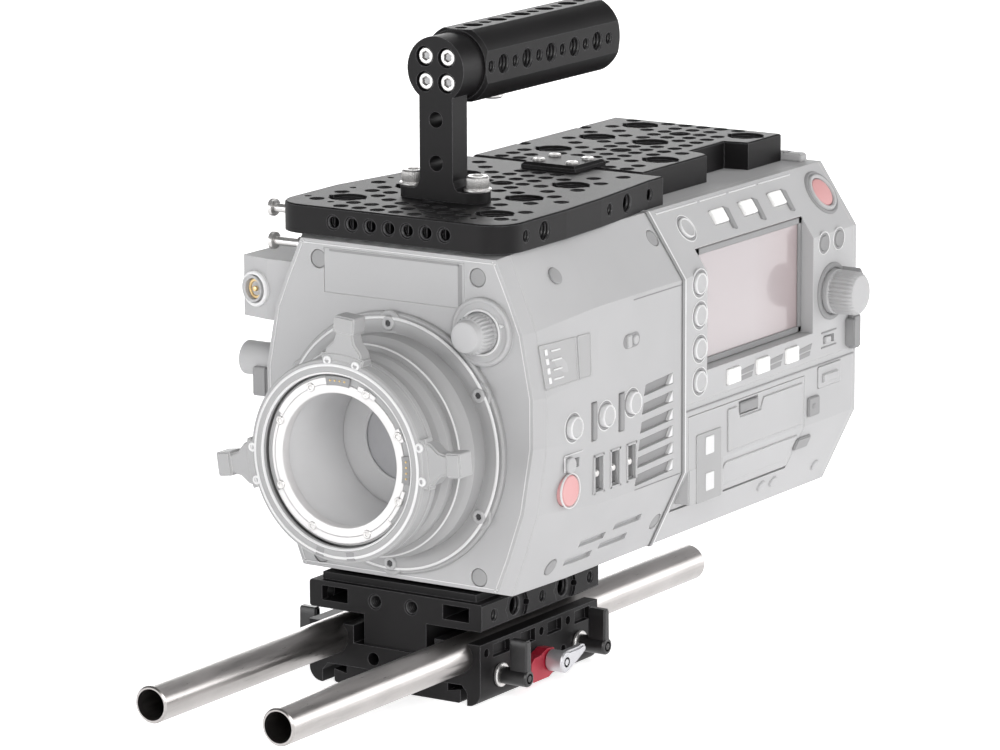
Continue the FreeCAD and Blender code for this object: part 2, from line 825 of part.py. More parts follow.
def handle_post():
    x = S.handleX
    post = Piece("handle_post")
    post.pad("XY", S.plateTopZ, S.footTopZ,
             rectangle(x - S.footHalfX, x + S.footHalfX, S.footFrontY, S.footRearY))
    post.edges("Fillet", 6.0, lambda edge: edge.BoundBox.ZLength > 4 and edge.Length < 5)
    post.pad("XZ", S.footFrontY, S.postRearY, polygon([
        (x - S.postHalfX - 2.4, S.footTopZ),
        (x + S.postHalfX + 2.4, S.footTopZ),
        (x + S.postHalfX + 1.0, S.footTopZ + 1.2),
        (x + S.postHalfX, S.footTopZ + 4),
        (x + S.postHalfX, S.headZ),
        (x - S.postHalfX, S.headZ),
        (x - S.postHalfX, S.footTopZ + 4),
        (x - S.postHalfX - 1.0, S.footTopZ + 1.2),
    ]))
    post.pad("XZ", S.footFrontY, S.neckRearY, circle(x, S.headZ, S.headRadius))
    post.pocket("XZ", S.footFrontY, S.postRearY,
                circle(x, S.postLowHoleZ, S.postHoleRadius), circle(x, S.postHighHoleZ, S.postHoleRadius))
    spots = [(x + a * S.headScrewX, S.headZ + b * S.headScrewZ) for a in (-1, 1) for b in (-1, 1)]
    post.pocket("XZ", S.footFrontY, S.neckRearY, *[circle(a, b, S.headScrewHole) for a, b in spots])
    post.pocket("XZ", S.footFrontY, S.footFrontY + S.headRecessDepth,
                *[circle(a, b, S.headRecessRadius) for a, b in spots])
    post.pocket("XY", S.plateTopZ, S.footTopZ,
                circle(x - S.footScrewX, S.footScrewY, S.footScrewHole),
                circle(x + S.footScrewX, S.footScrewY, S.footScrewHole))
    post.keep()


def handle_grip():
    x = S.handleX
    grip = Piece("handle_grip")
    grip.pad("XZ", S.gripFrontY, S.gripRearY, circle(x, S.headZ, S.gripRadius))
    grip.edges("Chamfer", 1.5, lambda edge: edge.BoundBox.XLength > 20)
    reach = S.gripRadius + 1
    flat = S.gripFlat
    grip.pocket("XZ", S.gripFrontY, S.gripRearY,
                rectangle(x + flat, x + reach, S.headZ - reach, S.headZ + reach),
                rectangle(x - reach, x - flat, S.headZ - reach, S.headZ + reach),
                rectangle(x - flat + 1, x + flat - 1, S.headZ + flat, S.headZ + reach),
                rectangle(x - flat + 1, x + flat - 1, S.headZ - reach, S.headZ - flat))
    rows = [S.gripHoleStartY + index * S.gripHolePitch for index in range(11)]
    small = rows[0::2]
    large = rows[1::2]
    depth = S.sideHoleDepth
    for low, high in ((x + flat - depth, x + flat), (x - flat, x - flat + depth)):
        grip.pocket("YZ", low, high,
                    *[circle(y, S.headZ, S.quarterInchRadius) for y in small],
                    *[circle(y, S.headZ, S.threeEighthRadius) for y in large])
    grip.pocket("XY", S.headZ + flat - depth, S.headZ + flat,
                *[circle(x, y, S.quarterInchRadius) for y in small],
                *[circle(x, y, S.threeEighthRadius) for y in large])
    grip.keep()


def rig_screws():
    """The silver screws that hold the link plate, the handle and the post."""
    parts = []
    top = S.plateTopZ + S.linkThick
    socket_depth = 1.4

    def along(start, turn, distance):
        """The point a distance from start in the direction the screw points."""
        out = turn.multVec(FreeCAD.Vector(0, 0, 1))
        return [sized(at) + step * distance for at, step in zip(start, (out.x, out.y, out.z))]

    def screw(x, y, z, turn, head_radius, head, shank_radius, shank):
        start = (x, y, z)
        whole = fuse(
            cylinder(head_radius, head, *start, turn),
            cylinder(shank_radius, shank, *along(start, turn, -shank), turn))
        socket = cylinder(head_radius * 0.5, 5, *along(start, turn, head - socket_depth), turn)
        parts.append(cut(whole, socket))

    for a in (-1, 1):
        for b in (-1, 1):
            screw(S.linkCentreX + a * S.linkScrewX, S.linkCentreY + b * S.linkScrewY, top,
                  UPWARD, 2.7, 1.8, 1.5, 2.4)
            screw(S.handleX + a * S.headScrewX, S.footFrontY + S.headRecessDepth,
                  S.headZ + b * S.headScrewZ, OUT_FRONT, 3.6, 2.6, 1.6, 10.9)
        screw(S.handleX + a * S.footScrewX, S.footScrewY, S.footTopZ, UPWARD, 5.0, 6.2, 3.1, 4.2)
    return parts


def tape_hooks():
    """The two measuring-tape studs on the left of the plate and of the camera head."""
    parts = []
    for start, z in ((S.frontPlateLeftX, 170.6), (-52.2, 157.0)):
        stem = cylinder(1.9, sized(start) + 66.0, start, 12.5, z, OUT_LEFT)
        head = cylinder(3.5, 2.2, -65.0, 12.5, z, OUT_LEFT)
        parts.append(fuse(stem, head))
    return [cut(part, camera_solid()) for part in parts]


# ------------------------------------------------------- housing of both modules

# Half outlines, from top to bottom, as (half width, height).
FACE_OUTLINE = ((46.5, 162.0), (53.7, 146.0), (58.8, 133.5), (63.7, 108.0),
                (63.7, 88.0), (59.2, 61.0), (52.7, 42.0), (47.0, 27.5))
RIM_OUTLINE = ((49.25, 163.4), (55.95, 147.0), (61.25, 134.0), (66.25, 108.0),
               (66.25, 88.0), (61.85, 60.0), (55.25, 40.0), (49.75, 25.6))
CAVITY_OUTLINE = ((45.0, 160.6), (52.4, 145.5), (57.8, 133.0), (62.9, 108.0),
                  (62.9, 88.0), (58.6, 61.0), (52.2, 42.5), (47.5, 28.4))

# Shapes that several sub-parts are cut from, made once.
SHARED = {}


def full_outline():
    """The six-sided section with two extra points on each sloping side."""
    upper_mid = 0.485
    lower_mid = 0.5
    upper = (S.bodyHalfTop + (S.bodyHalfWide - S.bodyHalfTop) * upper_mid,
             S.bodyTopZ - (S.bodyTopZ - S.bodyShoulderZ) * upper_mid)
    lower = (S.bodyHalfFoot + (S.bodyHalfWide - S.bodyHalfFoot) * lower_mid,
             S.bodyFootZ + (S.bodyHipZ - S.bodyFootZ) * lower_mid)
    return [
        (S.bodyHalfTop, S.bodyTopZ),
        upper,
        (S.bodyHalfWide, S.bodyShoulderZ),
        (S.bodyHalfWide, S.bodyShoulderZ - 26),
        (S.bodyHalfWide, S.bodyHipZ + 26.5),
        (S.bodyHalfWide, S.bodyHipZ),
        lower,
        (S.bodyHalfFoot, S.bodyFootZ),
    ]


def section(points, y):
    sketch = document.addObject("Sketcher::SketchObject", "section")
    sketch.Placement = FreeCAD.Placement(FreeCAD.Vector(), FreeCAD.Rotation(FreeCAD.Vector(1, 0, 0), 90))
    sketch.setExpression("Placement.Base.y", sized(y).text)
    draw(sketch, [mirrored(points, S.bodyCentreX)])
    return sketch


def camera_solid():
    """The camera head as one solid: a faceted nose and a straight trunk."""
    if "camera" not in SHARED:
        nose = document.addObject("Part::Loft", "nose")
        nose.Sections = [
            section(FACE_OUTLINE, S.bodyFrontY),
            section(RIM_OUTLINE, S.bodyRimY),
            section(full_outline(), S.bodyNoseY),
        ]
        nose.Solid = True
        nose.Ruled = True
        trunk = prism("XZ", S.bodyNoseY, S.moduleSeamY, mirrored(full_outline(), S.bodyCentreX))
        SHARED["camera"] = fuse(nose, trunk)
    return SHARED["camera"]


def hexagon(inset, low, high):
    """The six-sided trunk section, drawn in by an even wall."""
    slope = 0.55 * inset
    return prism("XZ", low, high, mirrored([
        (S.bodyHalfTop - slope, S.bodyTopZ - inset),
        (S.bodyHalfWide - inset, S.bodyShoulderZ - slope * 0.5),
        (S.bodyHalfWide - inset, S.bodyHipZ + slope * 0.5),
        (S.bodyHalfFoot - slope, S.bodyFootZ + inset),
    ], S.bodyCentreX))


def surface_x(z):
    """Distance from the rig's middle plane to the right-hand skin at a height."""
    z = sized(z)
    wide = S.bodyCentreX + S.bodyHalfWide
    if z.value > S.bodyShoulderZ.value:
        slope = (S.bodyHalfWide - S.bodyHalfTop) / (S.bodyTopZ - S.bodyShoulderZ)
        return wide - (z - S.bodyShoulderZ) * slope
    if z.value < S.bodyHipZ.value:
        slope = (S.bodyHalfWide - S.bodyHalfFoot) / (S.bodyHipZ - S.bodyFootZ)
        return wide - (S.bodyHipZ - z) * slope
    return wide


def skin_angle(z):
    """Turn about Y that points +Z straight out of the right-hand skin."""
    if z > SIZES["bodyShoulderZ"]:
        rise = SIZES["bodyHalfWide"] - SIZES["bodyHalfTop"]
        run = SIZES["bodyTopZ"] - SIZES["bodyShoulderZ"]
        return 90 - math.degrees(math.atan2(rise, run))
    if z < SIZES["bodyHipZ"]:
        rise = SIZES["bodyHalfWide"] - SIZES["bodyHalfFoot"]
        run = SIZES["bodyHipZ"] - SIZES["bodyFootZ"]
        return 90 + math.degrees(math.atan2(rise, run))
    return 90.0


def on_skin(y, z, half_y, half_up, root, stand, radius=None, sink=0.0):
    """A round or rectangular plug square to the right-hand skin.

    It runs from root below the skin to stand above it.
    """
    angle = skin_angle(z)
    turn = FreeCAD.Rotation(FreeCAD.Vector(0, 1, 0), angle)
    out = turn.multVec(FreeCAD.Vector(0, 0, 1))
    depth = sized(root) + sink
    x = surface_x(z) - depth * out.x
    height = sized(z) - depth * out.z
    if radius is not None:
        return cylinder(radius, sized(root) + stand, x, y, height, turn)
    item = document.addObject("Part::Box", "key")
    item.setExpression("Length", (2 * sized(half_up)).text)
    item.setExpression("Width", (2 * sized(half_y)).text)
    item.setExpression("Height", (sized(root) + stand).text)
    item.Placement = FreeCAD.Placement(FreeCAD.Vector(), turn)
    corner = turn.multVec(FreeCAD.Vector(1, 0, 0))
    return place(item, x - sized(half_up) * corner.x, sized(y) - half_y, height - sized(half_up) * corner.z)


# Stations outside the housing on every side, for blocks that cut right through it.
FAR = 120.0
CEILING = 200.0

CAMERA_BUTTONS = {
    "camera_button_front": (26.2, 92.5),
    "camera_button_middle": (50.4, 92.9),
    "camera_button_rear": (70.8, 94.4),
}
CAMERA_RECORD = (24.3, 67.2)
TOGGLES = {"toggle_front": 45.5, "toggle_middle": 58.0, "toggle_rear": 70.5}
TOGGLE_Z = 70.0
TOGGLE_PIVOT_X = 60.0
POWER_SWITCH = (26.6, 77.7)
LOUVRE_TOPS = (101.0, 93.5, 86.0, 79.0, 72.0, 65.0)
FACET_SLOTS = ((69.0, 42.3, 89.8), (44.5, 40.0, 63.7), (63.0, 35.2, 83.9), (38.7, 33.0, 58.5))


def camera_cavity():
    if "cavity" not in SHARED:
        SHARED["cavity"] = prism("XZ", S.bodyFrontY + S.cameraWall, S.moduleSeamY - S.cameraWall,
                               mirrored(CAVITY_OUTLINE, S.bodyCentreX))
    return SHARED["cavity"]


def camera_front_cover():
    blank = common(camera_solid(), box((-FAR, FAR), (-10, S.bodyRimY), (0, CEILING)))
    panel = S.bodyFrontY + 1.2
    tools = [
        camera_cavity(),
        cylinder(S.portBarrelRadius + 9.5, 20, 0, 10, S.lensAxisZ, OUT_FRONT),
        cylinder(S.dialShaftRadius, 20, S.dialX, 10, S.dialZ, OUT_FRONT),
        prism("XZ", -5, panel, rectangle(-33.5, 33.5, 141, 159.3)),
    ]
    for x, z in ((39.7, 154.2), (-36.2, 154.2), (39.7, 32.9), (-36.2, 32.9)):
        tools.append(cylinder(3.9, 10, x, panel, z, OUT_FRONT))
    shell = cut(blank, *tools)
    base = cut(cylinder(S.dialBaseRadius, 1.6, S.dialX, S.bodyFrontY, S.dialZ, OUT_FRONT),
               cylinder(S.dialShaftRadius, 20, S.dialX, 10, S.dialZ, OUT_FRONT),
               cylinder(S.portFlangeRadius + 0.2, 20, 0, 10, S.lensAxisZ, OUT_FRONT))
    keep(fuse(shell, base), "camera_front_cover")


def camera_chassis():
    trunk = common(camera_solid(), box((S.bodyCentreX - S.stripHalf, S.bodyCentreX + S.stripHalf),
                                       (S.bodyRimY, S.moduleSeamY), (0, CEILING)))
    window = box((-22, 26), (90, 130), (100, 150))
    keep(cut(trunk, camera_cavity(), window), "camera_chassis")


def camera_left_cover():
    reach = ((-FAR, S.bodyCentreX - S.stripHalf), (S.bodyRimY, S.moduleSeamY), (0, CEILING))
    side = common(camera_solid(), box(*reach))
    skin = S.bodyCentreX - S.bodyHalfWide
    tools = [camera_cavity()]
    for z in (52.0, 61.0, 70.0, 79.0, 88.0, 97.0):
        tools.append(box((-FAR, skin + 1.6), (58, 100), (z, z + 4.2)))
    keep(fuse(cut(side, *tools), connector_housing()), "camera_left_cover")


def camera_right_cover():
    reach = ((S.bodyCentreX + S.stripHalf, FAR), (S.bodyRimY, S.moduleSeamY), (0, CEILING))
    side = common(camera_solid(), box(*reach))
    gap = S.buttonGap
    skin = S.bodyCentreX + S.bodyHalfWide
    tools = [camera_cavity()]
    for y, z in CAMERA_BUTTONS.values():
        tools.append(cylinder(S.cameraButtonRadius + gap, 20, skin - 12, y, z, OUT_RIGHT))
    tools.append(cylinder(S.recordButtonRadius + gap, 20, skin - 12, *CAMERA_RECORD, OUT_RIGHT))
    for y in TOGGLES.values():
        tools.append(box((skin - 12, FAR), (y - 3.0, y + 3.0), (TOGGLE_Z - 7, TOGGLE_Z + 7)))
    y, z = POWER_SWITCH
    tools.append(box((skin - 12, FAR), (y - 5, y + 5), (z - 2, z + 2)))
    recess = skin - 1.8
    for top in LOUVRE_TOPS:
        lean = (101.0 - top) * 0.2
        tools.append(prism("YZ", recess, FAR, polygon([
            (81.3 - lean, top - 1.2), (103.0, top), (103.0, top - 4.6), (80.2 - lean, top - 5.8)])))
    for low, high in ((40.0, 44.3), (60.6, 65.2)):
        tools.append(box((skin - 1.0, FAR), (low, high), (84, 100)))
    tools.append(box((skin - 1.0, FAR), (65, 76), (118.4, 121.6)))
    for low, z, high in FACET_SLOTS:
        tools.append(on_skin((low + high) / 2, z, (high - low) / 2, 1.6, 1.6, 4))
    for y, z in ((30.0, 152.5), (105.5, 155.0), (29.0, 33.0), (105.5, 36.7)):
        tools.append(on_skin(y, z, 0, 0, 1.2, 6, radius=3.8))
    keep(cut(side, *tools), "camera_right_cover")


def camera_controls():
    skin = S.bodyCentreX + S.bodyHalfWide
    length = S.buttonRoot + S.cameraButtonStand
    for label, (y, z) in CAMERA_BUTTONS.items():
        button = cylinder(S.cameraButtonRadius, length, skin - S.buttonRoot, y, z, OUT_RIGHT)
        keep(group(button), label)
    button = cylinder(S.recordButtonRadius, S.buttonRoot + 1.2, skin - S.buttonRoot - 0.8,
                      *CAMERA_RECORD, OUT_RIGHT)
    keep(group(button), "camera_record_button")
    for label, y in TOGGLES.items():
        bat = cylinder(1.4, 7.6, TOGGLE_PIVOT_X, y, TOGGLE_Z, OUT_RIGHT)
        root = cylinder(2.2, 4.0, TOGGLE_PIVOT_X, y + 2, TOGGLE_Z, OUT_FRONT)
        keep(fuse(bat, root), label)
    y, z = POWER_SWITCH
    slider = box((skin - 4.5, skin + 1.2), (y - 4.6, y - 0.6), (z - 1.8, z + 1.8))
    keep(group(slider), "power_switch")


# --------------------------------------------------------------- lens mount


def ring(label, profile, *holes):
    """A body of revolution about the lens axis, given as (radius, station) pairs."""
    piece = Piece(label)
    piece.steps += 1
    sketch = piece.body.newObject("Sketcher::SketchObject", label + "_profile")
    datum = next(item for item in piece.body.Origin.OriginFeatures if item.Role == "XY_Plane")
    sketch.AttachmentSupport = [(datum, "")]
    sketch.MapMode = "FlatFace"
    sketch.setExpression("AttachmentOffset.Base.z", "Sizes.lensAxisZ")
    draw(sketch, [polygon(profile)])
    turned = piece.body.newObject("PartDesign::Revolution", label + "_turned")
    turned.Profile = sketch
    turned.ReferenceAxis = (sketch, ["V_Axis"])
    turned.Angle = 360
    document.recompute()
    if holes:
        low, high, loops = holes
        piece.pocket("XZ", low, high, *loops)
    return piece


def around_lens(radius, angles):
    """Places on a circle about the lens axis, as sketch coordinates."""
    spots = []
    for angle in angles:
        spots.append((math.cos(math.radians(angle)) * radius,
                      S.lensAxisZ + math.sin(math.radians(angle)) * radius))
    return spots


PORT_SCREW_ANGLES = (-90, -30, 30, 90, 150, 210)
SEAT_SCREW_ANGLES = (25, 65, 115, 155, 205, 245, 295, 335)
WING_ANGLES = (86, 188, 5)


def lens_port():
    flange_face = S.bodyFrontY - 2.6
    port = ring("lens_port", [
        (S.portBoreRadius, 6),
        (S.portBarrelRadius + 9.4, 6),
        (S.portBarrelRadius + 9.4, S.bodyFrontY),
        (S.portFlangeRadius, S.bodyFrontY),
        (S.portFlangeRadius, flange_face + 0.6),
        (S.portFlangeRadius - 0.6, flange_face),
        (45.0, flange_face),
        (45.0, -10.0),
        (43.4, -12.0),
        (40.6, -14.5),
        (40.6, -21.0),
        (39.0, -23.5),
        (S.portBarrelRadius, -25.0),
        (S.portBarrelRadius, S.seatBackY),
        (S.portBoreRadius, S.seatBackY),
    ])
    spots = around_lens(S.portScrewRadius, PORT_SCREW_ANGLES)
    port.pocket("XZ", flange_face, S.bodyFrontY, *[circle(x, z, 1.6) for x, z in spots])
    port.pad("XZ", 4, 13.5, circle(S.wheelX, S.wheelZ, S.wheelPinRadius))
    port.keep()


def mount_seat_ring():
    seat = ring("mount_seat_ring", [
        (S.throatRadius, S.seatBackY),
        (S.seatOuterRadius, S.seatBackY),
        (S.seatOuterRadius, S.seatFrontY + 0.4),
        (S.seatOuterRadius - 0.4, S.seatFrontY),
        (S.throatRadius + 0.4, S.seatFrontY),
        (S.throatRadius, S.seatFrontY + 0.4),
    ])
    spots = around_lens(S.seatScrewRadius, SEAT_SCREW_ANGLES)
    seat.pocket("XZ", S.seatFrontY, S.seatBackY, *[circle(x, z, 1.1) for x, z in spots])
    seat.keep()


def mount_screws():
    """The screws round the port flange and round the seat ring."""
    parts = []
    flange_face = S.bodyFrontY - 2.6
    for x, z in around_lens(S.portScrewRadius, PORT_SCREW_ANGLES):
        shank = cylinder(1.5, 2.6, x, S.bodyFrontY, z, OUT_FRONT)
        head = cylinder(2.7, 1.3, x, flange_face, z, OUT_FRONT)
        socket = cylinder(1.3, 2, x, flange_face - 0.5, z, OUT_FRONT)
        parts.append(cut(fuse(shank, head), socket))
    for x, z in around_lens(S.seatScrewRadius, SEAT_SCREW_ANGLES):
        shank = cylinder(1.0, 4.4, x, S.seatBackY, z, OUT_FRONT)
        head = cylinder(1.9, 0.5, x, S.seatFrontY, z, OUT_FRONT)
        parts.append(fuse(shank, head))
    return parts


def silver_fittings():
    keep(group(*rig_screws(), *tape_hooks(), *mount_screws()), "silver_fittings")


def mount_lock_ring():
    lock = ring("mount_lock_ring", [
        (S.portBarrelRadius + S.runningGap, S.lockRingBackY),
        (S.lockRingRadius, S.lockRingBackY),
        (S.lockRingRadius, S.lockRingFrontY + 1),
        (S.lockRingRadius - 1, S.lockRingFrontY),
        (S.seatOuterRadius + 1.0, S.lockRingFrontY),
        (S.seatOuterRadius + 0.4, S.lockRingFrontY + 1),
        (S.seatOuterRadius + 0.4, S.seatFrontY),
        (S.portBarrelRadius + S.runningGap, S.seatFrontY),
    ])
    root = S.lockRingRadius - 2.4
    reach = 57.0
    neck = 49.0
    half_root = 11.0
    half_neck = 8.6
    half_tip = 6.5
    loops = []
    for angle in WING_ANGLES:
        along = FreeCAD.Vector(math.cos(math.radians(angle)), 0, math.sin(math.radians(angle)))
        cross = FreeCAD.Vector(-along.z, 0, along.x)
        corners = []
        for distance, aside in (
                (root, -half_root), (neck, -half_neck), (reach - 2, -half_tip), (reach, -half_tip + 2),
                (reach, half_tip - 2), (reach - 2, half_tip), (neck, half_neck), (root, half_root)):
            distance = sized(distance)
            corners.append((distance * along.x + aside * cross.x,
                            S.lensAxisZ + distance * along.z + aside * cross.z))
        loops.append(polygon(corners))
    for loop in loops:
        lock.pad("XZ", S.lockRingFrontY + 1.2, S.lockRingBackY - 2, loop)
    lock.keep()


def sensor_block():
    block = Piece("sensor_block")
    half = 27.0
    low = S.lensAxisZ - 25
    high = S.lensAxisZ + 25
    block.pad("XZ", 62, S.moduleSeamY - S.cameraWall, rectangle(-half, half, low, high))
    block.pocket("XZ", 62, 64, rectangle(-15, 15, S.lensAxisZ - 10, S.lensAxisZ + 10))
    fins = [rectangle(x, x + 2.6, low, high) for x in (-22, -14, 11.4, 19.4)]
    block.pocket("XZ", 70, S.moduleSeamY - S.cameraWall, *fins)
    block.keep()


def filter_drive():
    """The filter dial with its pinion, and the wheel that the pinion turns."""
    pinion_front = 7.2
    pinion_rear = 9.9
    shaft = cylinder(S.dialShaftRadius - S.runningGap, pinion_rear + 3,
                     S.dialX, pinion_rear, S.dialZ, OUT_FRONT)
    pinion = cylinder(S.pinionRadius, pinion_rear - pinion_front, S.dialX, pinion_rear, S.dialZ, OUT_FRONT)
    knob = cylinder(S.dialKnobRadius, 10.5, S.dialX, -0.9, S.dialZ, OUT_FRONT)
    cap = cylinder(6.3, 2.0, S.dialX, -11.4, S.dialZ, OUT_FRONT)
    keep(fuse(shaft, pinion, knob, cap), "filter_dial")
    wheel = Piece("filter_wheel")
    bore = circle(S.wheelX, S.wheelZ, S.wheelPinRadius + S.runningGap)
    wheel.pad("XZ", pinion_front, 10.1, circle(S.wheelX, S.wheelZ, S.wheelDrumRadius), bore)
    wheel.pad("XZ", 10.1, 12.5, circle(S.wheelX, S.wheelZ, S.wheelRadius), bore)
    first = math.atan2(SIZES["lensAxisZ"] - SIZES["wheelZ"], -SIZES["wheelX"])
    openings = []
    for quarter in range(4):
        angle = first + quarter * math.pi / 2
        openings.append(circle(S.wheelX + math.cos(angle) * S.filterPitchRadius,
                               S.wheelZ + math.sin(angle) * S.filterPitchRadius, S.filterRadius))
    wheel.pocket("XZ", pinion_front, 12.5, *openings)
    wheel.keep()


def connector_housing():
    """The signal connector housing cast on the left of the camera head."""
    housing = prism("XY", 125, 150, polygon([
        (-50, 46), (-66, 45), (-79.5, 36), (-80, 11), (-66.5, 8), (-50, 8)]))
    turn = FreeCAD.Rotation(FreeCAD.Vector(0, 0, 1), -12).multiply(OUT_FRONT)
    socket = cut(cylinder(5.6, 5.5, -72.8, 13.0, 137, turn), cylinder(4.4, 6, -72.8, 10.0, 137, turn))
    knob = cylinder(7.0, 16.0, -63.0, 12.0, 107.5, OUT_LEFT)
    return cut(fuse(housing, socket, knob), camera_solid())


# ------------------------------------------------------------------ recorder

RECORDER_BUTTONS = {
    "display_button_top": (124.0, 134.3),
    "display_button_upper": (124.0, 121.0),
    "display_button_lower": (124.0, 107.0),
    "display_button_bottom": (124.0, 93.3),
    "display_button_corner": (132.0, 154.8),
}
KEYS = {
    "soft_key_upper_front": (158.6, 155.6),
    "soft_key_upper_middle": (182.4, 155.6),
    "soft_key_upper_rear": (206.6, 155.6),
    "soft_key_lower_front": (151.0, 91.0),
    "soft_key_lower_middle": (175.0, 91.0),
    "soft_key_lower_rear": (199.5, 91.0),
}
SMALL_BUTTONS = {"menu_button": (227.0, 134.5), "exit_button": (239.7, 134.5)}
RECORDER_RECORD = (242.0, 153.0)


def recorder_shell():
    """The recorder's skin as a tube closed at the front, kept once for all its covers."""
    if "recorder" not in SHARED:
        outer = hexagon(sized(0), S.moduleSeamY, S.recorderRearY - S.recorderWall)
        inner = hexagon(S.recorderWall, S.moduleSeamY + S.recorderWall, S.recorderRearY)
        SHARED["recorder_outer"] = outer
        SHARED["recorder"] = cut(outer, inner)
    return SHARED["recorder"]


def recorder_covers():
    low = S.bodyCentreX - S.stripHalf
    high = S.bodyCentreX + S.stripHalf
    length = (S.moduleSeamY, S.recorderRearY)
    frame = common(recorder_shell(), box((low, high), length, (0, CEILING)))
    window = box((-22, 26), (105, 120), (100, 150))
    keep(cut(frame, window), "recorder_frame")
    left = common(recorder_shell(), box((-FAR, low), length, (0, CEILING)))
    slots = [box((-FAR, S.bodyCentreX - S.bodyHalfWide + 1.2), (150, 230), (z, z + 4.0))
             for z in (66.0, 76.0, 86.0, 96.0, 106.0)]
    keep(cut(left, *slots), "recorder_left_cover")
    right = common(recorder_shell(), box((high, FAR), length, (0, S.panelLowZ)))
    doorway = box((high, FAR), (S.doorFrontY, S.doorRearY), (S.doorLowZ, S.doorHighZ))
    groove = hinge_bar(S.hingeGrooveRadius, 0)
    bearings = hinge_bar(S.hingePinRadius + S.runningGap, S.hingePinLength + 0.2)
    keep(cut(right, doorway, groove, bearings), "recorder_right_cover")


def hinge_bar(radius, beyond):
    """A round bar on the card door's hinge line, running past the doorway's ends."""
    start = S.doorRearY + beyond
    return cylinder(radius, start - (S.doorFrontY - beyond), S.hingeX, start, S.hingeZ, OUT_FRONT)


def card_door():
    gap = S.doorGap
    high = S.bodyCentreX + S.stripHalf
    opening = box((high, FAR), (S.doorFrontY + gap, S.doorRearY - gap),
                  (S.doorLowZ + gap, S.doorHighZ - gap))
    latch = box((66.6, FAR), (156, 172), (73, 79.0))
    leaf = cut(common(recorder_shell(), opening), latch)
    keep(fuse(leaf, hinge_bar(S.hingeBarrelRadius, -2), hinge_bar(S.hingePinRadius, S.hingePinLength)),
         "card_door")


def card_bay():
    bay = prism("XZ", 118, 208, polygon([
        (40, 42), (55.2, 42), (62.5, 58), (62.5, 78), (40, 78)]))
    slots = [box((44, 80), (124, 202), (z, z + 6.0)) for z in (50.0, 66.0)]
    shelf = box((40, 46), (118, 208), (27, 42.5))
    keep(fuse(cut(bay, *slots), common(shelf, recorder_interior())), "card_bay")


def recorder_interior():
    return hexagon(S.recorderWall, S.moduleSeamY + S.recorderWall, S.recorderRearY - S.recorderWall)


def control_panel():
    high = S.bodyCentreX + S.stripHalf
    recorder_shell()
    wall = 1.2
    skin = common(recorder_shell(), box((high, FAR), (S.moduleSeamY, S.recorderRearY), (S.panelLowZ, 200)))
    tray = common(SHARED["recorder_outer"], box(
        (S.screenFaceX - 3.2, FAR),
        (S.screenFrontY - wall, S.screenRearY + wall),
        (S.screenLowZ - wall, S.screenHighZ + wall)))
    tools = [box((S.screenFaceX - 1.6, FAR), (S.screenFrontY, S.screenRearY),
                 (S.screenLowZ, S.screenHighZ))]
    gap = S.buttonGap
    for y, z in RECORDER_BUTTONS.values():
        tools.append(on_skin(y, z, 0, 0, 12, 6, radius=S.recorderButtonRadius + gap))
    for y, z in SMALL_BUTTONS.values():
        tools.append(on_skin(y, z, 0, 0, 12, 6, radius=S.smallButtonRadius + gap))
    tools.append(on_skin(*RECORDER_RECORD, 0, 0, 12, 6, radius=S.recordButtonRadius + gap))
    for y, z in KEYS.values():
        tools.append(on_skin(y, z, S.keyHalfY + gap, S.keyHalfUp + gap, 8, 6))
    tools.append(cylinder(S.dialShaftRadius, 20, 58, S.jogY, S.jogZ, OUT_RIGHT))
    tools.append(box((60, FAR), (227.0, 236.5), (90.6, 94.0)))
    keep(cut(fuse(skin, tray), *tools), "control_panel")


def display_screen():
    margin = 0.1
    screen = box((S.screenFaceX - 1.6, S.screenFaceX),
                 (S.screenFrontY + margin, S.screenRearY - margin),
                 (S.screenLowZ + margin, S.screenHighZ - margin))
    keep(group(screen), "display_screen")


def recorder_controls():
    for table, radius in ((RECORDER_BUTTONS, S.recorderButtonRadius), (SMALL_BUTTONS, S.smallButtonRadius)):
        for label, (y, z) in table.items():
            button = on_skin(y, z, 0, 0, S.buttonRoot, S.buttonStand, radius=radius)
            keep(group(button), label)
    button = on_skin(*RECORDER_RECORD, 0, 0, S.buttonRoot, S.buttonStand, radius=S.recordButtonRadius)
    keep(group(button), "recorder_record_button")
    for label, (y, z) in KEYS.items():
        key = on_skin(y, z, S.keyHalfY, S.keyHalfUp, S.buttonRoot, S.buttonStand)
        keep(group(key), label)
    skin = S.bodyCentreX + S.bodyHalfWide
    slider = box((skin - 4, skin + 1.2), (227.4, 232.0), (90.8, 93.8))
    keep(group(slider), "lock_switch")


def jog_dial():
    skin = S.bodyCentreX + S.bodyHalfWide
    shaft = cylinder(S.dialShaftRadius - S.runningGap, 8, skin - 7, S.jogY, S.jogZ, OUT_RIGHT)
    knob = cylinder(S.jogRadius, S.jogFaceX - skin - 0.4, skin + 0.4, S.jogY, S.jogZ, OUT_RIGHT)
    keep(fuse(shaft, knob), "jog_dial")


def rear_panel():
    wall = S.recorderWall
    plate = hexagon(sized(0), S.recorderRearY - wall, S.recorderRearY)
    intake = [cylinder(2.0, 10, 1.75 + column * 7, S.recorderRearY + 4, 96 + row * 7, OUT_FRONT)
              for column in range(-3, 4) for row in range(-3, 4) if abs(column) + abs(row) > 1]
    pin = cylinder(2.0, 16, S.bodyCentreX, S.recorderRearY - wall, 96, OUT_FRONT)
    keep(fuse(cut(plate, *intake), pin), "rear_panel")


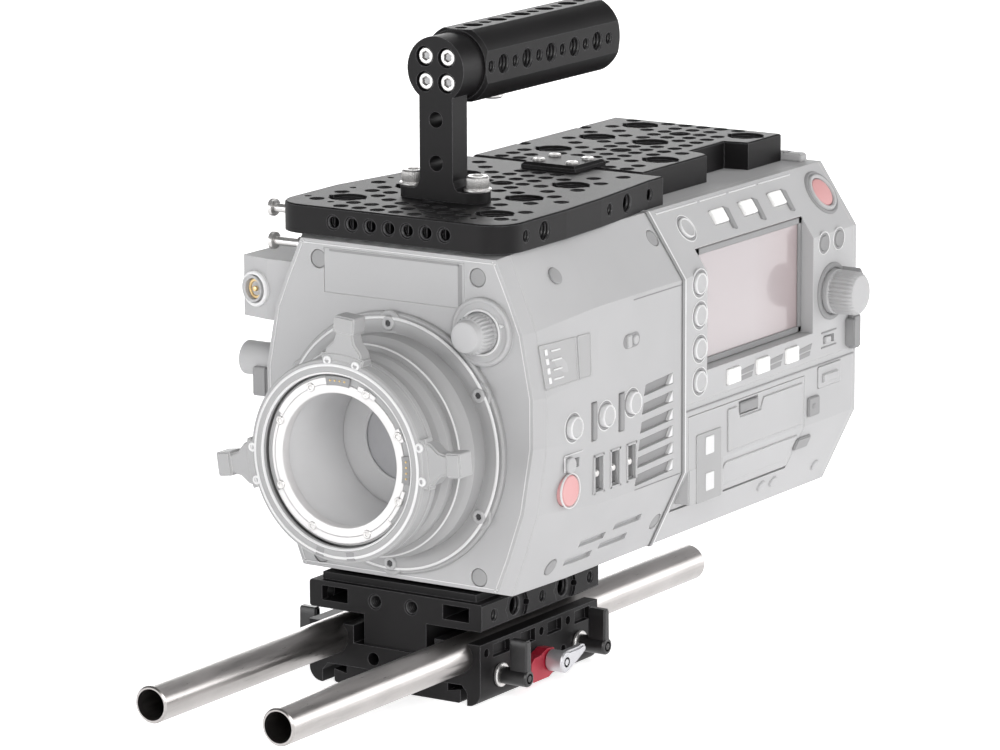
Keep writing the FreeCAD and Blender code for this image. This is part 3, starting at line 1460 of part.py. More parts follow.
def cooling_fan():
    front = 239.0
    rear = 248.0
    x = S.bodyCentreX
    fan = Piece("cooling_fan")
    fan.pad("XZ", front, rear, circle(x, 96, 9), circle(x, 96, 2 + S.runningGap))
    blades = []
    for index in range(7):
        angle = 2 * math.pi * index / 7
        along = (math.cos(angle), math.sin(angle))
        corners = []
        for distance, aside in ((8.6, -1.1), (27.0, -4.6), (27.6, -2.4), (8.6, 1.1)):
            corners.append((x + distance * along[0] - aside * along[1],
                            96 + distance * along[1] + aside * along[0]))
        blades.append(polygon(corners))
    for blade in blades:
        fan.pad("XZ", front + 1.5, rear - 1.5, blade)
    fan.keep()


# --------------------------------------------------------------------- build

for build in (
        rods, rod_clamp_block, dovetail_rail, riser_block, clamp_levers, release_lever, safety_latch,
        front_top_plate, rear_top_plate, seam_link_plate, handle_post, handle_grip, silver_fittings,
        camera_front_cover, camera_chassis, camera_left_cover, camera_right_cover, camera_controls,
        lens_port, mount_seat_ring, mount_lock_ring, sensor_block, filter_drive,
        recorder_covers, card_door, card_bay, control_panel, display_screen, recorder_controls, jog_dial,
        rear_panel, cooling_fan):
    build()

document.recompute()
for item in document.Objects:
    if "Invalid" in item.State or "Error" in item.State:
        raise RuntimeError("failed object %s (%s)" % (item.Name, item.Label))
for node in NODES:
    if node.Shape.isNull() or not node.Shape.isValid() or not node.Shape.Solids:
        raise RuntimeError("bad shape in %s" % node.Label)
for node in NODES:
    node.Shape.exportStep(os.path.join("parts", node.Label + ".step"))
print("sub-parts:", len(NODES))
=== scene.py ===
import json
import math

import bmesh
import bpy
from mathutils import Matrix, Vector


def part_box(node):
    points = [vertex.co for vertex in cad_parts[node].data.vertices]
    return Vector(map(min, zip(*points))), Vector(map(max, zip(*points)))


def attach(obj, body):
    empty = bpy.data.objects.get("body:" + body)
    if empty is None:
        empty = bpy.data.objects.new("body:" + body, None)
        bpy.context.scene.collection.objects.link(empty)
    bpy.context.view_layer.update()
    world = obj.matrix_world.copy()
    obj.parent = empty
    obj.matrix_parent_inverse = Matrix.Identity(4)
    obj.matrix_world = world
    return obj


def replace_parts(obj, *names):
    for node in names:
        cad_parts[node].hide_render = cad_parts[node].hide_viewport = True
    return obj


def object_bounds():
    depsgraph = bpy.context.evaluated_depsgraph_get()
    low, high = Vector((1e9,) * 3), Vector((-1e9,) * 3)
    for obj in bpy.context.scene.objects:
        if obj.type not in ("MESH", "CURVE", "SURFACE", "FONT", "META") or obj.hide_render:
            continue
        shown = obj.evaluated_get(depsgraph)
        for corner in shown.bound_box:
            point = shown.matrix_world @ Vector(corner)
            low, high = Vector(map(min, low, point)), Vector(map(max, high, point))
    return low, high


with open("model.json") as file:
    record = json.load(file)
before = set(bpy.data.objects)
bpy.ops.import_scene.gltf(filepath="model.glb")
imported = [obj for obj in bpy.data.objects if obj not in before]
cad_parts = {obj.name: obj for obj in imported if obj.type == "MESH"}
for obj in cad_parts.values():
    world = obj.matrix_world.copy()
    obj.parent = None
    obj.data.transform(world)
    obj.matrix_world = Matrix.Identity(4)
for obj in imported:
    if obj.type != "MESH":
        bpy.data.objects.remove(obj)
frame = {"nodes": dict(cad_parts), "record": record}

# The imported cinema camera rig, with its finishes and its fine pieces. Places are
# in millimetres in the rig's working frame: X across (plus on the control side),
# Y from the riser's front face towards the back, Z up from the rods' centre line.

cad_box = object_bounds()
NODES = frame["nodes"]
RIG = "rig"
MM = 0.001
FRONT_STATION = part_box("riser_block")[0].y
ROD_HEIGHT = (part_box("rod_left")[0].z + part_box("rod_left")[1].z) / 2
LENS_Z = ((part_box("lens_port")[0].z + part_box("lens_port")[1].z) / 2 - ROD_HEIGHT) / MM
SKIN_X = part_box("camera_right_cover")[1].x / MM
PLATE_TOP = (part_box("front_top_plate")[1].z - ROD_HEIGHT) / MM

# The six-sided skin: its middle, and where the nose plane starts and how far it runs back.
SKIN_HALF = 66.25
SKIN_CENTRE = SKIN_X - SKIN_HALF
NOSE_START = 7.0
NOSE_LENGTH = 38.0

# The lens mount's rings along Y, and the radii of its two screw circles.
FLANGE_Y = -1.6
COLLAR_Y = -15.5
LOCK_Y = -30.0
SEAT_Y = -34.0
FLANGE_CIRCLE = 49.0
SEAT_CIRCLE = 30.9

# Slopes of the upper and lower facets of the control side, from the horizontal.
SHOULDER_Z = 138.0
HIP_Z = 57.5
UPPER_RUN = 17.75 / 26.2
LOWER_RUN = 15.75 / 32.5


def spot(x, y, z):
    """A working-frame point in metres in the row frame."""
    return Vector((x * MM, y * MM + FRONT_STATION, z * MM + ROD_HEIGHT))


def facing(x, y, z, out, up=(0, 0, 1)):
    """Matrix of a local frame at x, y, z: local Z points out and local Y points up."""
    normal = Vector(out).normalized()
    side = Vector(up).cross(normal).normalized()
    upward = normal.cross(side)
    turn = Matrix((side, upward, normal)).transposed().to_4x4()
    return Matrix.Translation(spot(x, y, z)) @ turn @ Matrix.Scale(MM, 4)


FRONT = (0, -1, 0)
BACK = (0, 1, 0)
RIGHT = (1, 0, 0)
LEFT = (-1, 0, 0)
TOP = (0, 0, 1)
FACET_UP = Vector((1, 0, UPPER_RUN)).normalized()
FACET_DOWN = Vector((1, 0, -LOWER_RUN)).normalized()


def on_axis(y):
    """Local frame on the lens axis, looking out of the front."""
    return facing(0, y, LENS_Z, FRONT)


def upright(x=0.0):
    """The working frame itself in metres, moved along X."""
    return Matrix.Translation(spot(x, 0, 0)) @ Matrix.Scale(MM, 4)


SIDE_PLANE = facing(SKIN_X, 0, 0, RIGHT)


def polar(radius, degrees):
    angle = math.radians(degrees)
    return radius * math.cos(angle), radius * math.sin(angle)


def on_skin(y, z, stand=0.0):
    """Local frame on the control side's skin, X towards the back and Y up the skin."""
    if z > SHOULDER_Z:
        normal, x = FACET_UP, SKIN_X - (z - SHOULDER_Z) * UPPER_RUN
    elif z < HIP_Z:
        normal, x = FACET_DOWN, SKIN_X - (HIP_Z - z) * LOWER_RUN
    else:
        normal, x = Vector(RIGHT), SKIN_X
    matrix = facing(x, y, z, normal)
    return matrix @ Matrix.Translation((0, 0, stand))


# ------------------------------------------------------------------ shapes


def ring_point(radius, angle, form):
    """Point of a profile ring: round, a polygon of form sides, or ribbed."""
    if isinstance(form, int):
        step = 2 * math.pi / form
        radius = radius / math.cos((angle + step / 2) % step - step / 2)
    elif form is not None:
        count, depth = form
        radius -= depth * (0.5 + 0.5 * math.cos(angle * count)) ** 2
    return radius * math.cos(angle), radius * math.sin(angle)


def lathe(profile, segments=72, closed=False):
    """Turned solid from (radius, height[, form]) steps; a closed profile makes a ring."""
    mesh = bmesh.new()
    rings = []
    for step in profile:
        radius, height = step[0], step[1]
        form = step[2] if len(step) > 2 else None
        if radius < 1e-6:
            rings.append([mesh.verts.new((0, 0, height))])
            continue
        ring = []
        for index in range(segments):
            x, y = ring_point(radius, 2 * math.pi * index / segments, form)
            ring.append(mesh.verts.new((x, y, height)))
        rings.append(ring)
    pairs = list(zip(rings, rings[1:]))
    if closed:
        pairs.append((rings[-1], rings[0]))
    for lower, upper in pairs:
        for index in range(segments):
            following = (index + 1) % segments
            corners = [lower[index % len(lower)], lower[following % len(lower)],
                       upper[following % len(upper)], upper[index % len(upper)]]
            unique = list(dict.fromkeys(corners))
            if len(unique) > 2:
                mesh.faces.new(unique)
    if not closed:
        for ring in (rings[0], rings[-1]):
            if len(ring) > 1:
                mesh.faces.new(ring)
    bmesh.ops.recalc_face_normals(mesh, faces=mesh.faces)
    return mesh


def hoop(profile, segments=64):
    """Turned ring from a closed profile."""
    return lathe(profile, segments, closed=True)


def bridge(mesh, lower, upper):
    """Faces between two closed loops of as many points."""
    for index in range(len(lower)):
        following = (index + 1) % len(lower)
        mesh.faces.new((lower[index], lower[following], upper[following], upper[index]))


def slab(outline, low, high, bevel=0.3, rounds=2):
    """Flat piece from an outline, between two heights, with its edges broken."""
    mesh = bmesh.new()
    face = mesh.faces.new([mesh.verts.new((x, y, low)) for x, y in outline])
    raised = bmesh.ops.extrude_face_region(mesh, geom=[face])
    tops = [item for item in raised["geom"] if isinstance(item, bmesh.types.BMVert)]
    bmesh.ops.translate(mesh, vec=(0, 0, high - low), verts=tops)
    bmesh.ops.recalc_face_normals(mesh, faces=mesh.faces)
    if bevel > 0:
        level = [edge for edge in mesh.edges
                 if abs(edge.verts[0].co.z - edge.verts[1].co.z) < 1e-6
                 or len(outline) < 9]
        bmesh.ops.bevel(mesh, geom=level, offset=bevel, segments=rounds, affect="EDGES",
                        clamp_overlap=True)
    return mesh


def rectangle(half_x, half_y, radius=0.0, steps=4, centre=(0, 0)):
    """Outline of a rectangle with rounded corners."""
    if radius <= 0:
        corners = [(half_x, half_y), (-half_x, half_y), (-half_x, -half_y), (half_x, -half_y)]
        return [(x + centre[0], y + centre[1]) for x, y in corners]
    points = []
    for quarter, (sx, sy) in enumerate(((1, 1), (-1, 1), (-1, -1), (1, -1))):
        for step in range(steps + 1):
            angle = math.pi / 2 * (quarter + step / steps)
            points.append((sx * (half_x - radius) + radius * math.cos(angle) + centre[0],
                           sy * (half_y - radius) + radius * math.sin(angle) + centre[1]))
    return points


def pad(sides, low, high, bevel=0.3, rounds=2, at=(0, 0)):
    """Rectangular slab; sides holds its half sizes and, if rounded, its corner radius."""
    return slab(rectangle(*sides, centre=at), low, high, bevel, rounds)


def joined(*meshes):
    """One bmesh holding several; each entry is a bmesh or a (bmesh, matrix) pair."""
    whole = bmesh.new()
    for entry in meshes:
        mesh, matrix = entry if isinstance(entry, tuple) else (entry, None)
        if matrix is not None:
            mesh.transform(matrix)
        data = bpy.data.meshes.new("part")
        mesh.to_mesh(data)
        whole.from_mesh(data)
        bpy.data.meshes.remove(data)
        mesh.free()
    return whole


def shift(x=0.0, y=0.0, z=0.0):
    return Matrix.Translation((x, y, z))


def swing(degrees):
    return Matrix.Rotation(math.radians(degrees), 4, "Z")


def as_object(name, mesh):
    """Turns a bmesh into a smooth-shaded object in the scene."""
    data = bpy.data.meshes.new(name)
    mesh.to_mesh(data)
    mesh.free()
    data.shade_smooth()
    item = bpy.data.objects.new(name, data)
    bpy.context.scene.collection.objects.link(item)
    return item


def piece(name, mesh, matrix, material, body=RIG, sharp=32):
    """Turns a bmesh in millimetres into an object that rides on a body."""
    mesh.transform(matrix)
    if matrix.determinant() < 0:
        bmesh.ops.reverse_faces(mesh, faces=mesh.faces)
    item = as_object(name, mesh)
    item.data.set_sharp_from_angle(angle=math.radians(sharp))
    item.data.materials.append(material)
    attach(item, body)
    return item


# ---------------------------------------------------------------- materials


class Nodes:
    """A short way to wire a material's node tree."""

    def __init__(self, name):
        self.material = bpy.data.materials.new(name)
        self.material.use_nodes = True
        self.tree = self.material.node_tree
        self.shader = self.tree.nodes["Principled BSDF"]

    def add(self, kind, **settings):
        node = self.tree.nodes.new("ShaderNode" + kind)
        for key, value in settings.items():
            if key in node.inputs:
                node.inputs[key].default_value = value
            else:
                setattr(node, key, value)
        return node

    def link(self, source, target):
        self.tree.links.new(source, target)

    def feed(self, key, source):
        """Wires a source into the shader."""
        self.link(source, self.shader.inputs[key])

    def preset(self, key, value):
        self.shader.inputs[key].default_value = value

    def place(self, stretch=(1, 1, 1)):
        """Object coordinates in metres, stretched along chosen axes."""
        coordinates = self.add("TexCoord")
        mapping = self.add("Mapping")
        mapping.inputs["Scale"].default_value = stretch
        self.link(coordinates.outputs["Object"], mapping.inputs["Vector"])
        return mapping.outputs["Vector"]

    def noise(self, vector, scale, detail=3.0, roughness=0.55):
        node = self.add("TexNoise", Scale=scale, Detail=detail, Roughness=roughness)
        self.link(vector, node.inputs["Vector"])
        return node.outputs["Fac"]

    def ramp(self, value, low, high, start=0.0, end=1.0):
        node = self.add("MapRange")
        for key, edge in (("From Min", start), ("From Max", end), ("To Min", low), ("To Max", high)):
            node.inputs[key].default_value = edge
        self.link(value, node.inputs["Value"])
        return node.outputs["Result"]

    def mix(self, factor, first, second):
        node = self.add("Mix", data_type="RGBA")
        for index, value in ((6, first), (7, second)):
            if isinstance(value, tuple):
                node.inputs[index].default_value = (*value, 1.0)
            else:
                self.link(value, node.inputs[index])
        self.link(factor, node.inputs[0])
        return node.outputs[2]


ROUGH_SPREAD = 0.12


def finish(name, colour, rough, metallic, grain, depth, edge, highlight_colour, cloud, specular=0.5,
           radius=0.35):
    """A moulded, painted or machined finish.

    It varies broadly in colour by cloud. A fine grain, of the given fineness and depth,
    is in the bump and the roughness. Its edges are softened over radius and painted lighter
    towards highlight_colour by the share edge, a painted highlight along every edge.
    """
    build = Nodes(name)
    vector = build.place()
    broad = build.noise(vector, 22.0, 2.0)
    fine = build.noise(vector, grain, 4.0, 0.65)
    darker = tuple(channel * (1 - cloud) for channel in colour)
    lighter = tuple(min(1.0, channel * (1 + cloud)) for channel in colour)
    base = build.mix(build.ramp(broad, 0.0, 1.0, 0.3, 0.7), darker, lighter)
    bevel = build.add("Bevel", samples=4)
    bevel.inputs["Radius"].default_value = radius * MM
    geometry = build.add("NewGeometry")
    turn = build.add("VectorMath", operation="DOT_PRODUCT")
    build.link(bevel.outputs["Normal"], turn.inputs[0])
    build.link(geometry.outputs["Normal"], turn.inputs[1])
    # Painted highlight: where the softened bevel normal turns from the face normal, the colour is painted
    # lighter towards the highlight colour (tint) by the share edge.
    edge_highlight = build.ramp(turn.outputs["Value"], edge, 0.0, 0.84, 0.995)
    tint = highlight_colour or tuple(min(1.0, channel * 1.7 + 0.03) for channel in colour)
    build.feed("Base Color", build.mix(edge_highlight, base, tint))
    grained = build.ramp(fine, rough - ROUGH_SPREAD, rough + ROUGH_SPREAD)
    build.feed("Roughness", grained)
    bump = build.add("Bump", Strength=depth * 8, Distance=0.00005)
    build.link(fine, bump.inputs["Height"])
    build.link(bevel.outputs["Normal"], bump.inputs["Normal"])
    build.feed("Normal", bump.outputs["Normal"])
    build.preset("Metallic", metallic)
    build.preset("Specular IOR Level", specular)
    return build.material


def brushed_steel(name, colour, rough, stretch):
    """Bare steel with fine drawn lines along or across the piece."""
    build = Nodes(name)
    vector = build.place(stretch)
    lines = build.noise(vector, 900.0, 5.0, 0.7)
    stains = build.noise(build.place(), 30.0, 4.0)
    dark = tuple(channel * 0.72 for channel in colour)
    tone = build.mix(build.ramp(stains, 0.0, 1.0, 0.35, 0.65), dark, colour)
    base = build.mix(build.ramp(lines, 0.0, 1.0, 0.3, 0.75), tone, colour)
    build.feed("Base Color", base)
    build.feed("Roughness", build.ramp(lines, rough - 0.08, rough + 0.14))
    bump = build.add("Bump", Strength=0.25, Distance=0.00003)
    build.link(lines, bump.inputs["Height"])
    build.feed("Normal", bump.outputs["Normal"])
    build.preset("Metallic", 1.0)
    return build.material


def display_glass(name):
    """Powered-off display behind a clear glossy cover with a painted reflection: paler low down, darker
    towards the top, and darker and warmer towards the rear.
    """
    build = Nodes(name)
    coordinates = build.place()
    split = build.add("SeparateXYZ")
    build.link(coordinates, split.inputs[0])
    low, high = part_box("display_screen")
    height = build.ramp(split.outputs["Z"], 0.0, 1.0, low.z, high.z)
    along = build.ramp(split.outputs["Y"], 0.0, 1.0, low.y, high.y)
    # Painted reflection: paler at the bottom of the screen and darker at its top; below, darker and warmer
    # towards the rear.
    upright = build.mix(height, (0.44, 0.395, 0.405), (0.38, 0.34, 0.35))
    painted_reflection_rear = build.ramp(along, 0.0, 1.0, 0.55, 0.95)
    build.feed("Base Color", build.mix(painted_reflection_rear, upright, (0.36, 0.30, 0.305)))
    build.preset("Coat Weight", 0.8)
    build.preset("Coat Roughness", 0.04)
    smear = build.noise(coordinates, 60.0, 3.0)
    build.feed("Roughness", build.ramp(smear, 0.12, 0.26))
    return build.material


def lens_glass(name, colour):
    """Pale coated optical glass with a trace of dust."""
    build = Nodes(name)
    dust = build.noise(build.place(), 400.0, 2.0)
    darker = tuple(channel * 0.94 for channel in colour)
    build.feed("Base Color", build.mix(dust, darker, colour))
    build.feed("Roughness", build.ramp(dust, 0.06, 0.14))
    build.preset("Coat Weight", 0.6)
    return build.material


# Each line: name, colour, roughness, metallic, grain, depth, share of painted edge highlight, highlight
# colour, cloud.
BLACK = finish("anodised_black", (0.0075, 0.007, 0.0075), 0.48, 0.0, 5200.0, 0.05, 0.9,
               (0.13, 0.13, 0.135), 0.18, specular=0.17, radius=0.45)
BLACK_SATIN = finish("lever_black", (0.010, 0.0095, 0.010), 0.36, 0.0, 3600.0, 0.04, 0.5,
                     (0.10, 0.10, 0.105), 0.15, specular=0.5, radius=0.5)
ROD = brushed_steel("rod_steel", (0.47, 0.45, 0.44), 0.28, (1, 0.06, 1))
SILVER = finish("turned_steel", (0.62, 0.61, 0.60), 0.30, 0.85, 2400.0, 0.02, 0.5,
                (0.9, 0.9, 0.9), 0.03)
SEAT = finish("ground_steel", (0.70, 0.69, 0.69), 0.38, 0.2, 1800.0, 0.03, 0.2, None, 0.04, specular=0.6)
LEVER_GREY = finish("blasted_grey", (0.50, 0.50, 0.52), 0.42, 0.75, 3000.0, 0.06, 0.35,
                    (0.7, 0.7, 0.72), 0.08)
LATCH_RED = finish("anodised_red", (0.33, 0.012, 0.03), 0.38, 0.25, 4200.0, 0.04, 0.4,
                   (0.6, 0.12, 0.14), 0.14)
CASTING = finish("camera_paint", (0.405, 0.405, 0.41), 0.62, 0.0, 3000.0, 0.09, 0.5,
                 (0.66, 0.66, 0.66), 0.03, specular=0.3, radius=0.6)
CASING = finish("recorder_paint", (0.42, 0.42, 0.425), 0.60, 0.0, 3000.0, 0.09, 0.5,
                (0.68, 0.68, 0.68), 0.03, specular=0.3, radius=0.6)
MOUNT = finish("mount_grey", (0.335, 0.335, 0.338), 0.45, 0.0, 2400.0, 0.05, 0.6, (0.66, 0.66, 0.66), 0.04,
               specular=0.45, radius=0.45)
# Darker grey: the colour of dark parts and joints, and painted shade on sheets, bands and liners that stand
# for shade in recesses, notches and openings.
SHADE = finish("dark_grey_and_painted_shade", (0.27, 0.27, 0.273), 0.7, 0.0, 2600.0, 0.08, 0.3, (0.38, 0.38, 0.38), 0.05,
               specular=0.25)
RUBBER = finish("plug_rubber", (0.30, 0.30, 0.303), 0.75, 0.0, 1500.0, 0.12, 0.25, (0.42, 0.42, 0.42), 0.05,
                specular=0.2)
CONTROL = finish("control_grey", (0.40, 0.40, 0.405), 0.5, 0.0, 2800.0, 0.08, 0.45,
                 (0.66, 0.66, 0.66), 0.04)
# Pale grey: the colour of bright rings, labels and marks, and of thin rims and lines painted bright as
# highlights.
BEZEL = finish("pale_grey_and_painted_highlight", (0.66, 0.66, 0.665), 0.42, 0.0, 2600.0, 0.04, 0.3, (0.85, 0.85, 0.85), 0.03)
WHITE = finish("key_white", (0.90, 0.90, 0.89), 0.42, 0.0, 2200.0, 0.03, 0.2, (0.97, 0.97, 0.97), 0.02)
RED = finish("record_red", (0.60, 0.31, 0.31), 0.45, 0.0, 2400.0, 0.04, 0.3, (0.80, 0.58, 0.58), 0.04)
INNER = finish("inner_metal", (0.36, 0.36, 0.365), 0.5, 0.2, 1400.0, 0.05, 0.3, None, 0.06)
# Near black: the colour of inner plastic parts, and painted shade in screw sockets and in the holes of the
# rear rail.
DARK = finish("dark_inner_and_painted_shade", (0.05, 0.05, 0.052), 0.6, 0.0, 2000.0, 0.06, 0.2, None, 0.1)
# Painted light: the throat's inner parts are painted paler than the body, so the deep throat reads evenly
# lit instead of falling into shade.
THROAT = finish("throat_painted_pale", (0.64, 0.64, 0.645), 0.7, 0.0, 2200.0, 0.06, 0.2, None, 0.03, specular=0.2)
GOLD = finish("contact_gold", (0.75, 0.55, 0.28), 0.3, 0.9, 2000.0, 0.02, 0.2, None, 0.05)
SCREEN = display_glass("display_cover")
OPTIC = lens_glass("sensor_filter", (0.46, 0.46, 0.475))

SLOT_FINISH = {
    "black_anodised": BLACK,
    "rod_steel": ROD,
    "silver_steel": SILVER,
    "lever_grey": LEVER_GREY,
    "latch_red": LATCH_RED,
    "camera_casting": CASTING,
    "mount_metal": MOUNT,
    "inner_metal": INNER,
    "control_grey": CONTROL,
    "record_red": RED,
    "key_white": WHITE,
    "recorder_casing": CASING,
    "inner_plastic": DARK,
    "screen_glass": SCREEN,
}


def stand_in(node, name, mesh, matrix, material=CONTROL):
    """A piece that takes a moving CAD node's place and rides on it."""
    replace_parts(piece(name, mesh, matrix, material, node), node)


def mount_piece(name, mesh, matrix, material=MOUNT, body=RIG):
    return piece(name, mesh, matrix, material, body)


def recorder_piece(name, mesh, matrix, material, body=RIG):
    return piece(name, mesh, matrix, material, body)


def bright_piece(name, mesh, matrix, material=SILVER, body=RIG):
    return piece(name, mesh, matrix, material, body)


def paint_frame():
    """Gives every CAD node the finish of its slot and even shading."""
    for part in frame["record"]["subparts"]:
        item = NODES[part["node"]]
        item.data.materials.clear()
        item.data.materials.append(SLOT_FINISH[part["material_slot"]])
        item.data.shade_smooth()
        item.data.set_sharp_from_angle(angle=math.radians(28))
    NODES["lens_port"].data.materials[0] = MOUNT
    # Painted light: the sensor block and filter wheel take the pale throat colour.
    for name in ("sensor_block", "filter_wheel"):
        NODES[name].data.materials[0] = THROAT


# -------------------------------------------------------------------- screws


def hex_screw(radius, height, socket, dome=0.25):
    """Cylinder-head screw with a hexagonal socket, standing on local z = 0."""
    rim = 0.14 * radius
    return lathe([
        (0, 0),
        (radius, 0),
        (radius, height - rim),
        (radius - rim, height),
        (socket * 1.25, height + dome * 0.2),
        (socket, height, 6),
        (socket * 0.97, height - min(height * 0.7, socket), 6),
        (0, height - min(height * 0.8, socket * 1.2)),
    ], 48)


def knurled_screw(radius, height, socket):
    """Tall cap screw with a fine knurl round its head and a hexagonal socket."""
    form = (36, 0.22)
    return lathe([
        (0, 0),
        (radius - 0.2, 0),
        (radius, 0.4, form),
        (radius, height - 0.8, form),
        (radius - 0.8, height),
        (socket * 1.2, height),
        (socket, height - 0.1, 6),
        (socket * 0.97, height - socket, 6),
        (0, height - socket * 1.2),
    ], 144)


def washer(inner, outer, thick):
    return hoop([(inner, 0), (outer - 0.2, 0), (outer, 0.2), (outer, thick - 0.2), (outer - 0.2, thick),
                  (inner, thick)], 64)


def rig_screws():
    """The bright screws of the link plate, handle foot and handle head, and the tape studs."""
    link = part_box("seam_link_plate")
    centre_x = (link[0].x + link[1].x) / 2 / MM
    centre_y = ((link[0].y + link[1].y) / 2 - FRONT_STATION) / MM
    link_top = (link[1].z - ROD_HEIGHT) / MM
    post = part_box("handle_post")
    post_x = (post[0].x + post[1].x) / 2 / MM
    post_front = (post[0].y - FRONT_STATION) / MM
    head_z = (post[1].z - ROD_HEIGHT) / MM - 13.45
    foot_top = PLATE_TOP + 4.5
    items = []
    for a in (-1, 1):
        for b in (-1, 1):
            items.append(("link_screw_%d%d" % (a + 1, b + 1), hex_screw(2.6, 1.0, 1.3),
                          facing(centre_x + a * 8.1, centre_y + b * 6.2, link_top, TOP, BACK)))
            items.append(("head_screw_%d%d" % (a + 1, b + 1), hex_screw(3.55, 2.6, 1.75),
                          facing(post_x + a * 5.2, post_front + 3.5, head_z + b * 5.1, FRONT)))
        items.append(("foot_screw_%d" % (a + 1), joined(
            washer(2.4, 5.6, 1.1), (knurled_screw(4.7, 5.1, 2.5), shift(z=1.1))),
            facing(post_x + a * 15.4, 40.2, foot_top, TOP, BACK)))
    for index, (start, z) in enumerate(((56.7, 170.6), (52.0, 157.0))):
        end = 66.0 - start
        stud = lathe([
            (0, 0), (2.8, 0), (2.8, 1.0), (1.8, 1.6), (1.8, end - 1.6), (3.4, end - 1.2), (3.6, end - 0.8),
            (3.6, end + 0.6), (3.2, end + 0.8), (1.3, end + 1.0), (1.2, end + 0.2), (0, end + 0.2)], 48)
        items.append(("tape_stud_%d" % index, stud, facing(-start, 12.5, z, LEFT)))
    grip_low = (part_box("handle_grip")[0].z - ROD_HEIGHT) / MM
    items.append(("grip_screw", hex_screw(4.4, 2.2, 2.0), facing(post_x, 75.0, grip_low, (0, 0, -1), BACK)))
    made = [bright_piece(name, mesh, matrix) for name, mesh, matrix in items]
    # Painted shade: a hexagonal pit of the darker inner grey sits in each socket for the shade inside it.
    socket_shades = (("link", 1.1, 0.6), ("head", 1.35, 1.6), ("foot", 2.2, 4.6))
    for name, mesh, matrix in items:
        for key, radius, height in socket_shades:
            if name.startswith(key):
                floor = height - 0.4
                pit = lathe([(0, floor), (radius, floor, 6), (radius, height, 6), (0, height)], 48)
                bright_piece(name + "_socket", pit, matrix, INNER)
    return made


def mount_screws():
    """The screws of the port flange on raised bosses, and those of the seat ring."""
    for index, angle in enumerate((-90, -30, 30, 90, 150, 210)):
        x, rise = polar(FLANGE_CIRCLE, angle)
        boss = lathe([(0, 0), (5.2, 0), (5.2, 0.5), (4.6, 0.9), (3.4, 0.9), (3.2, 0.5), (0, 0.5)], 56)
        mount_piece("port_boss_%d" % index, boss, facing(x, FLANGE_Y, LENS_Z + rise, FRONT))
        place = facing(x, FLANGE_Y - 0.45, LENS_Z + rise, FRONT) @ swing(17 * index)
        bright_piece("port_screw_%d" % index, hex_screw(2.9, 1.5, 1.3), place, CONTROL)
        # Painted shade: a near-black hexagonal insert in each socket stands for the shade inside it.
        socket = lathe([(0, 0.4), (1.24, 0.4, 6), (1.24, 0.95, 6), (0, 0.95)], 48)
        bright_piece("port_socket_%d" % index, socket, place, DARK)
    for index, angle in enumerate((25, 65, 115, 155, 205, 245, 295, 335)):
        x, rise = polar(SEAT_CIRCLE, angle)
        place = facing(x, SEAT_Y - 4.4, LENS_Z + rise, FRONT) @ swing(23 * index)
        bright_piece("seat_screw_%d" % index, hex_screw(1.85, 0.5, 0.85, 0.2), place)


def silver_pieces():
    made = rig_screws()
    mount_screws()
    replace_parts(made[0], "silver_fittings")


def skin_band(name, start, end, stand, material):
    """A thin band that follows the six-sided skin all round, between two Y stations."""
    half = [(48.5, 164.2), (SKIN_HALF, SHOULDER_Z), (SKIN_HALF, HIP_Z), (50.5, 25.0)]
    outline = half + [(-x, z) for x, z in reversed(half)]
    mesh = bmesh.new()
    loops = []
    middle_z = (SHOULDER_Z + HIP_Z) / 2
    for offset, y in ((-0.6, start), (stand, start), (stand, end), (-0.6, end)):
        loop = []
        for x, z in outline:
            out_x = x + math.copysign(offset, x)
            out_z = z + math.copysign(offset * 0.75, z - middle_z) * (abs(z - middle_z) > 50)
            loop.append(mesh.verts.new((out_x, y, out_z)))
        loops.append(loop)
    for first, second in zip(loops, loops[1:] + loops[:1]):
        bridge(mesh, first, second)
    bmesh.ops.recalc_face_normals(mesh, faces=mesh.faces)
    recorder_piece(name, mesh, upright(SKIN_CENTRE), material)


# ---------------------------------------------------------------- lens mount


def arc_outline(inner, outer, start, end, steps=10):
    """Outline of a ring sector between two angles in degrees."""
    angles = [start + (end - start) * index / steps for index in range(steps + 1)]
    return ([polar(outer, angle) for angle in angles]
            + [polar(inner, angle) for angle in reversed(angles)])


def lock_wing():
    """One wing of the lock ring, reaching along local X from the ring's rim."""
    root = slab(arc_outline(37.2, 43.6, -13.5, 13.5), 4.2, 9.9, 0.5)
    edge = [(39, -9.8), (44.5, -8.2), (48, -4.9), (51, -4.0), (56, -4.2)]
    neck = slab(edge + [(x, -y) for x, y in reversed(edge)], 2.6, 9.55, 0.7, 3)
    tip = pad((3.4, 4.9, 0.9), 1.5, 10.4, 0.7, 3)
    tip.transform(shift(55.0))
    screws = [(hex_screw(1.9, 0.7, 0.9, 0.2), shift(*polar(40.4, angle), 9.9)) for angle in (-9.5, 9.5)]
    return joined(root, neck, tip), joined(*screws)


